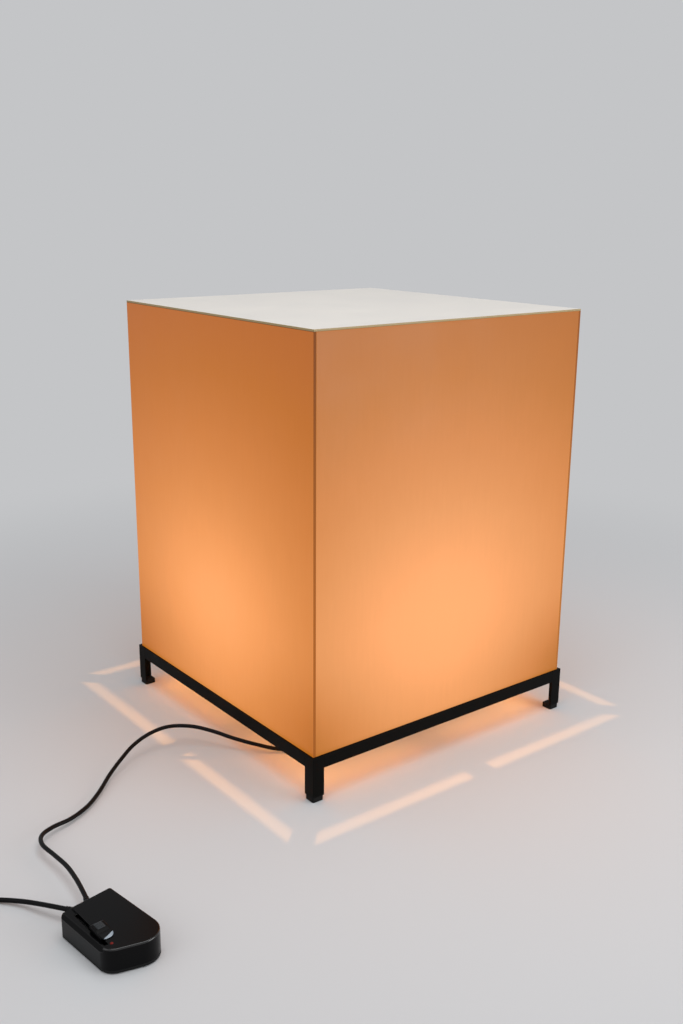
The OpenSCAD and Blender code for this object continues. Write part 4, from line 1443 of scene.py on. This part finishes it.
@dataclass
class Bulb:
    """Pearl filament bulb with its screw cap, in millimetres.

    Attributes:
        tip_z: Height of its centre contact.
        glass_z: Height of the middle of the round glass.
        glass_r: Radius of the glass.
        neck: How far the neck's end lies below that middle, and its length.
        cap_r: Mean radius of the cap's thread.
        crest: Height of the thread's crests.
        pitch: Pitch of the thread.
        turns: Turns of the thread.
    """

    tip_z: float = 91.0
    glass_z: float = 168.0
    glass_r: float = 30.0
    neck: Flat = (51.5, 8.0)
    cap_r: float = 13.0
    crest: float = 0.45
    pitch: float = 3.6
    turns: int = 5

    def cap(self) -> None:
        """Roll the cap and set its insulator and solder tip."""
        r, low, z = self.cap_r, self.tip_z + 2.5, self.tip_z
        start, end = low + 3, low + 3 + self.pitch * self.turns
        wall = r - self.crest - 0.6
        shape = threaded(
            [(wall, start), (9.0, low + 1), (6.0, low + 0.8), (6.0, low), (9.0, low + 0.2)]
            + [(11.0, low + 1.1), (r - 0.9, low + 2.2), (r, start)],
            [(r, end), (r + 0.3, end + 0.5), (r + 0.4, end + 2.6), (r, end + 3.0)]
            + [(wall, end + 1)],
            r, self.crest, self.pitch, 64,
        )
        make("bulb_screw_cap", shape, [CAP_ALUMINIUM], "cap_metal", "bulb_cap")
        tip = turned(
            [(0, z), (2.4, z + 0.05), (3.5, z + 0.4), (3.9, z + 0.8), (4.9, z + 0.8)]
            + [(5.3, z + 1.2), (5.95, z + 3.3), (0, z + 3.3)],
            48,
        )
        for face in tip.faces:
            face.material_index = 1 if face.calc_center_median().z < (z + 0.79) * MM else 0
        make("bulb_insulator", tip, [VITRITE, CAP_ALUMINIUM], "cap_metal", "bulb_contact")

    def glass(self) -> None:
        """Blow the glass, a ball that runs smoothly into its neck."""
        r, mid, start, pull = self.glass_r, self.glass_z, radians(-38), 9.0
        neck_z, neck_r = mid - self.neck[0], self.cap_r - 0.8
        neck = [Vector((neck_r, neck_z)), Vector((neck_r + 0.5, neck_z + self.neck[1]))]
        ball = [
            Vector((r * cos(a), mid + r * sin(a)))
            for a in (start + (pi / 2 - start) * k / 32 for k in range(33))
        ]
        # one cubic from the neck to the ball, along the tangents of both
        a, d = neck[1], ball[0]
        b, c = a + Vector((0.4, pull)), d - pull * Vector((-sin(start), cos(start)))
        bend = []
        for t in (k / 12 for k in range(1, 12)):
            u = 1 - t
            bend.append(u**3 * a + 3 * u * u * t * b + 3 * u * t * t * c + t**3 * d)
        outline = [(max(p[0], 0.0), p[1]) for p in (*neck, *bend, *ball)]
        shape = turned([*outline[:-1], (0.0, mid + r), (0.0, neck_z)])
        piece = make("bulb_round_glass", shape, [PEARL_GLASS], "bulb_glass", "bulb_glass")
        piece.visible_shadow = False

    def build(self) -> None:
        """Make the bulb."""
        self.cap()
        self.glass()
        for node, finish in (("bulb_stem", STEM_GLASS), ("bulb_filament", TUNGSTEN)):
            dress(finish, node)
            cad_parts[node].visible_shadow = False


# --------------------------------------------------------------- foot dimmer


@dataclass
class FootDimmer:
    """Slide dimmer that lies in the lead, in millimetres, from the middle of its back edge.

    Attributes:
        lead: Lead that it lies in, which knows where it stands.
        top_z: Height of the flat top.
        rim: How far below the top its buffed rim starts.
        strip_z: Height of the finger strip.
        groove: Depth of the groove in it.
        gap: Room under the knob.
        track_at: Back end of the knob's track.
        track_turn: Degrees that the track is turned.
        knob_at: Distance of the knob from the track's back end.
        knob: Width, length and height of the knob.
        knob_left: Distance of its left side from the track.
        front_r: Radius of the front corners of the knob.
        scoop: Where the painted highlight ends on the left, and how much farther on the right.
        side_line: Distance along the knob and height of its side view, from the front.
        foot: Half the width of the knob's foot, and how far it ends before the knob.
        blade: Half sizes of the knob's blade, and its lower end.
        ridges: Number of ridges, place of the first along the knob, half their length,
            and the way from one to the next.
        feet_at: Places of the rubber feet.
        lens_at: Place of the indicator.
        lens: Radius of the lens, foot and height of its dome.
    """

    lead: Lead
    top_z: float = 33.0
    rim: float = 2.6
    strip_z: float = 31.0
    groove: float = 4.0
    gap: float = 0.3
    track_at: Flat = (-22.7, -14.0)
    track_turn: float = -5.9
    knob_at: float = 50.0
    knob: Point = (17.0, 29.0, 5.0)
    knob_left: float = -1.6
    front_r: float = 6.5
    scoop: Flat = (-14.3, 5.0)
    side_line: tuple[Flat, ...] = (
        (-14.5, 0.5), (-13.5, 0.95), (-12.0, 1.75), (-10.5, 2.7), (-9.0, 3.65), (-8.0, 4.35),
        (-7.5, 4.55), (-7.0, 4.35), (-6.4, 3.3), (-5.8, 2.65), (-5.0, 2.5), (-4.2, 2.65),
        (-2.5, 3.4), (-0.5, 4.25), (1.2, 4.85), (2.5, 5.0), (11.5, 5.0), (12.7, 4.75),
        (13.6, 4.1), (14.2, 3.2), (14.5, 1.6),
    )
    foot: Flat = (1.4, 3.0)
    blade: Point = (0.8, 4.0, 21.0)
    ridges: tuple[int, float, float, float] = (6, 11.5, 5.2, 2.0)
    feet_at: tuple[Flat, ...] = ((-24, -17), (24, -17), (4, -96), (-33, -75))
    lens_at: Flat = (-25.0, -88.0)
    lens: Point = (2.0, 32.6, 1.4)

    def stand(self) -> Matrix:
        """Give the place of the dimmer in the lamp's frame."""
        turn = Matrix.Rotation(radians(self.lead.dimmer_turn), 4, "Z")
        return shift(*self.lead.dimmer_at, 0) @ turn

    def track(self) -> Matrix:
        """Give the place of the knob on its track, +Y towards the track's back end."""
        turn = Matrix.Rotation(radians(self.track_turn), 4, "Z")
        return self.stand() @ shift(*self.track_at, 0) @ turn @ shift(0, -self.knob_at, 0)

    def put(self, name: str, shapes: list[Shape], finish: Finish, slot: str, node: str) -> None:
        """Finish a piece drawn from the dimmer's back edge.

        Args:
            name: Name of the piece.
            shapes: Its meshes.
            finish: Its finish.
            slot: Material slot of the record.
            node: Node that it replaces.
        """
        make(name, moved(joined(shapes), self.stand()), [finish], slot, node, crease=40)

    def shell(self) -> None:
        """Make the housing, whose rim is buffed, and the base."""
        housing = cad_shape("dimmer_housing")
        for face in housing.faces:
            height, up = face.calc_center_median().z / MM, face.normal.z
            face.material_index = int(height > self.top_z - self.rim and 0.1 < up < 0.98)
        looks = [finish.material() for finish in (ABS_SHELL, ABS_RIM)]
        upper = new_object("dimmer_shell", housing, looks)
        soften(upper, 0.35, angle=30.0)
        settle(upper, "dimmer_shell", "dimmer_housing")
        softened("dimmer_base", "dimmer_bottom", ABS_BASE, "dimmer_shell", 0.35)

    def fittings(self) -> None:
        """Make the feet, the collars of the leads and the lens."""
        pad = [(0, 0.15), (1.5, 0), (3.4, 0), (3.85, 0.2), (4, 0.6), (4, 1.5), (0, 1.5)]
        feet = [moved(turned(pad, 32), shift(x, y, 0)) for x, y in self.feet_at]
        self.put("dimmer_pads", feet, FOOT_RUBBER, "pad_rubber", "dimmer_feet")
        collar = [(3.1, 1.4), (3.4, 1.7), (5.4, 1.7), (5.9, 1.3), (6.0, 0.2), (4.45, 0)]
        collar += [(4.45, -3.5), (3.1, -3.5)]
        lying = Matrix.Rotation(-pi / 2, 4, "X")
        pair = [
            moved(turned(collar, 40), shift(x, 0, self.lead.lead_z) @ lying)
            for x in (self.lead.lamp_side, self.lead.mains_side)
        ]
        self.put("dimmer_collars", pair, SHEATH, "cord_sheath", "dimmer_grommets")
        r, foot, dome = self.lens
        bulge = [(r * cos(a), foot + dome * sin(a)) for a in (0.25, 0.5, 0.8, 1.1, 1.35)]
        lens = turned([(0, 22), (r, 22), (r, foot), *bulge, (0, foot + dome)], 32)
        self.put(
            "dimmer_lens", [moved(lens, shift(*self.lens_at, 0))], RED_LENS, "red_lens",
            "indicator",
        )

    def height(self, y: float) -> float:
        """Give the knob's height at a place along it.

        Args:
            y: Distance along the knob.

        Returns:
            Its height there.
        """
        for (a, p), (b, q) in zip(self.side_line, self.side_line[1:]):
            if y <= b:
                return p + (q - p) * (y - a) / (b - a)
        return self.side_line[-1][1]

    def thumb_piece(self) -> None:
        """Make the knob: scooped round front, notch, ridged top, foot and blade."""
        wide, long, _ = self.knob
        low, left, round_r = self.top_z + self.gap, self.knob_left, self.front_r
        end = long / 2 - 0.1
        places = sorted({-long / 2 + 0.25 * k for k in range(int(4 * long) + 1)} | {-end, end})
        rings = []
        for y in places:
            near = max(0.0, round_r - (y + long / 2))
            inset = round_r - sqrt(max(round_r**2 - near**2, 0.0))
            a, b, top = left + inset, left + wide - inset, self.height(y)
            edge = min(1.0, 0.45 * top)
            curve = [
                (a + edge * (1 - cos(t)), top - edge * (1 - sin(t)))
                for t in (radians(d) for d in range(0, 91, 18))
            ]
            over = [(a + (b - a) * k / 40, top) for k in range(5, 36)]
            side = [(a, 0.0), *curve, *over, *[(a + b - x, z) for x, z in curve[::-1]], (b, 0.0)]
            rings.append([(x * MM, y * MM, (low + z) * MM) for x, z in side])
        top_piece = skin(rings)
        # upward faces on the right front of the slope get the painted highlight
        pale, slant = self.scoop
        for face in top_piece.faces:
            at, up = face.calc_center_median() / MM, face.normal.z
            bright = at.y < (at.x - left) * slant / wide + pale
            face.material_index = int(bright and up > 0.3)
        half, before = self.foot
        floor_z = self.strip_z - self.groove + self.gap
        foot = block((-half, before - long / 2, floor_z), (half, long / 2 - before, low + 1))
        x, y, z = self.blade
        blade = block((-x, -y, z), (x, y, low + 0.5))
        shape = moved(joined([top_piece, foot, blade]), self.track())
        looks = [ABS_KNOB, KNOB_FRONT_HIGHLIGHT]
        where = {"body": Body.SLIDER, "crease": 48}
        make("thumb_piece", shape, looks, "knob_plastic", "slider_knob", **where)

    def grip_ridges(self) -> None:
        """Lay the ridges, painted grey as a highlight, in a row across the knob's top."""
        count, first, half, step = self.ridges
        low, middle = self.top_z + self.gap + self.knob[2] - 0.1, self.knob_left + self.knob[0] / 2
        tip = ((-half, 0.25), (-half + 0.2, 0.55), (-half + 0.6, 0.7))
        turns = [(cos(tau * k / 12), sin(tau * k / 12)) for k in range(12)]
        rings = [
            [((middle + x) * MM, (first + r * c) * MM, (low + r * s) * MM) for c, s in turns]
            for x, r in [*tip, *[(-x, r) for x, r in tip[::-1]]]
        ]
        shape = moved(skin(rings), self.track())
        smooth(shape, 60)
        back = self.track().to_3x3() @ Vector((0, -step * MM, 0))
        seed = new_object("thumb_ridges", shape, [RIDGE_HIGHLIGHT.material()])
        ridges = ROW.run(seed, RIDGE_HIGHLIGHT, Count=count, Step=tuple(back))
        settle(ridges, "knob_plastic", body=Body.SLIDER)

    def inside(self) -> None:
        """Dress what the housing hides."""
        for finish, *nodes in (
            (ZINC, "dimmer_screws"), (SHEATH, "dimmer_leads"), (PHENOLIC, "lead_clamps"),
            (BOARD, "dimmer_board"), (SINK, "heat_sink", "slide_control"), (WINDING, "choke"),
            (FILM, "capacitor"), (POLYAMIDE, "terminal_block"),
        ):
            dress(finish, *nodes)

    def build(self) -> None:
        """Make the whole dimmer."""
        self.shell()
        self.fittings()
        self.thumb_piece()
        self.grip_ridges()
        self.inside()


# ---------------------------------------------------------------------- plug


@dataclass
class Plug:
    """Flat two-pin plug at the end of the lead, in millimetres, along -Y from its tail.

    Attributes:
        at: Where the lead ends in its tail.
        tail: Length of the ringed tail.
        rings: Bending rings of the tail.
        neck: Radius of the tail at the body.
        length: Length of the flat body.
        wide: Width of the body.
        thick: Thickness of the body.
        pin_r: Radius of a pin.
        pin_l: Length of a pin.
        pin_gap: Distance between the pins.
        sleeve: Length of the pins' insulating sleeves.
    """

    at: Point
    tail: float = 20.0
    rings: int = 5
    neck: float = 5.4
    length: float = 38.0
    wide: float = 34.0
    thick: float = 14.0
    pin_r: float = 2.0
    pin_l: float = 19.0
    pin_gap: float = 18.6
    sleeve: float = 10.0

    def half_sizes(self, t: float) -> Flat:
        """Give half the width and thickness of the body.

        Args:
            t: Distance from the tail's end.

        Returns:
            Both half sizes there.
        """
        ringed = self.tail - 1
        if t < ringed:
            wave = 0.5 - 0.5 * cos(tau * self.rings * t / ringed)
            r = 3.8 + 1.6 * t / ringed + 0.5 * wave
            return r, r
        share = min((t - self.tail + 1) / (0.42 * self.length), 1.0)
        ease = share * share * (3 - 2 * share)
        end = max(0.0, t - (self.tail + self.length - 1.6)) / 1.6
        shrink = 1.5 * (1 - sqrt(max(1 - end * end, 0.0)))
        wide, thick = (self.neck + (s / 2 - self.neck) * ease for s in (self.wide, self.thick))
        return wide - shrink, thick - shrink

    def body(self) -> Piece:
        """Mould the body with its ringed tail."""
        total = self.tail + self.length
        marks = [0.5 * k for k in range(int(2 * total) - 1)] + [total - 0.6, total - 0.2, total]
        sections = []
        for t in marks:
            wide, thick = self.half_sizes(t)
            power = 2 / (2 + 1.2 * min(max((t - self.tail) / 16, 0.0), 1.0))
            ring = []
            for a in (tau * k / 48 for k in range(48)):
                x = wide * copysign(abs(cos(a)) ** power, cos(a))
                z = thick * copysign(abs(sin(a)) ** power, sin(a))
                ring.append(tuple((Vector(self.at) + Vector((x, -t, z))) * MM))
            sections.append(ring)
        looks = ([PHENOLIC], "black_moulding")
        return make("plug_moulding", skin(sections), *looks, "plug_body", crease=50)

    def pins(self) -> Piece:
        """Make both pins with their sleeves and round tips."""
        r, out, bare = self.pin_r, self.pin_l, self.pin_r - 0.15
        line = [(0, -6), (1.5, -6), (1.5, -0.2), (r, 0), (r, self.sleeve), (bare, self.sleeve)]
        line += [(bare, out - 1.6), (r - 0.5, out - 0.6), (r - 1.1, out - 0.1), (0, out)]
        face = Vector(self.at) - Vector((0, self.tail + self.length, 0))
        pair = []
        for side in (-1, 1):
            pin = turned(line, 32)
            for part in pin.faces:
                part.material_index = int(part.calc_center_median().z < self.sleeve * MM)
            place = shift(*(face + Vector((side * self.pin_gap / 2, 0, 0))))
            pair.append(moved(pin, place @ Matrix.Rotation(pi / 2, 4, "X")))
        looks = ([BRASS, PHENOLIC], "contact_brass")
        return make("plug_pin_pair", joined(pair), *looks, "plug_pins")


def main() -> None:
    """Build the lamp, from the studio and the leads to the last ridge."""
    logging.basicConfig(level=logging.INFO, format="%(message)s")
    Studio().build()
    lead = Lead()
    lamp = lead.run_lead("lamp_lead", lead.lamp_line, "lamp_cord")
    mains = lead.run_lead(
        "mains_lead", lead.mains_line, "mains_cord", "mains_coil", "plug_cord"
    )
    for part in (Shade(), Tray(), Lampholder(), Bulb(), FootDimmer(lead)):
        part.build()
    dress(SHEATH, "lead_in")
    plug = Plug(lead.plug_at)
    relief_lamp = lead.relief("relief_lamp", lead.lamp_line[::-1])
    relief_mains = lead.relief("relief_mains", lead.mains_line)
    lead.lamp_line
    on_mains = [relief_mains, plug.body(), plug.pins()]
    lead.mains_line


if __name__ == "__main__":
    main()
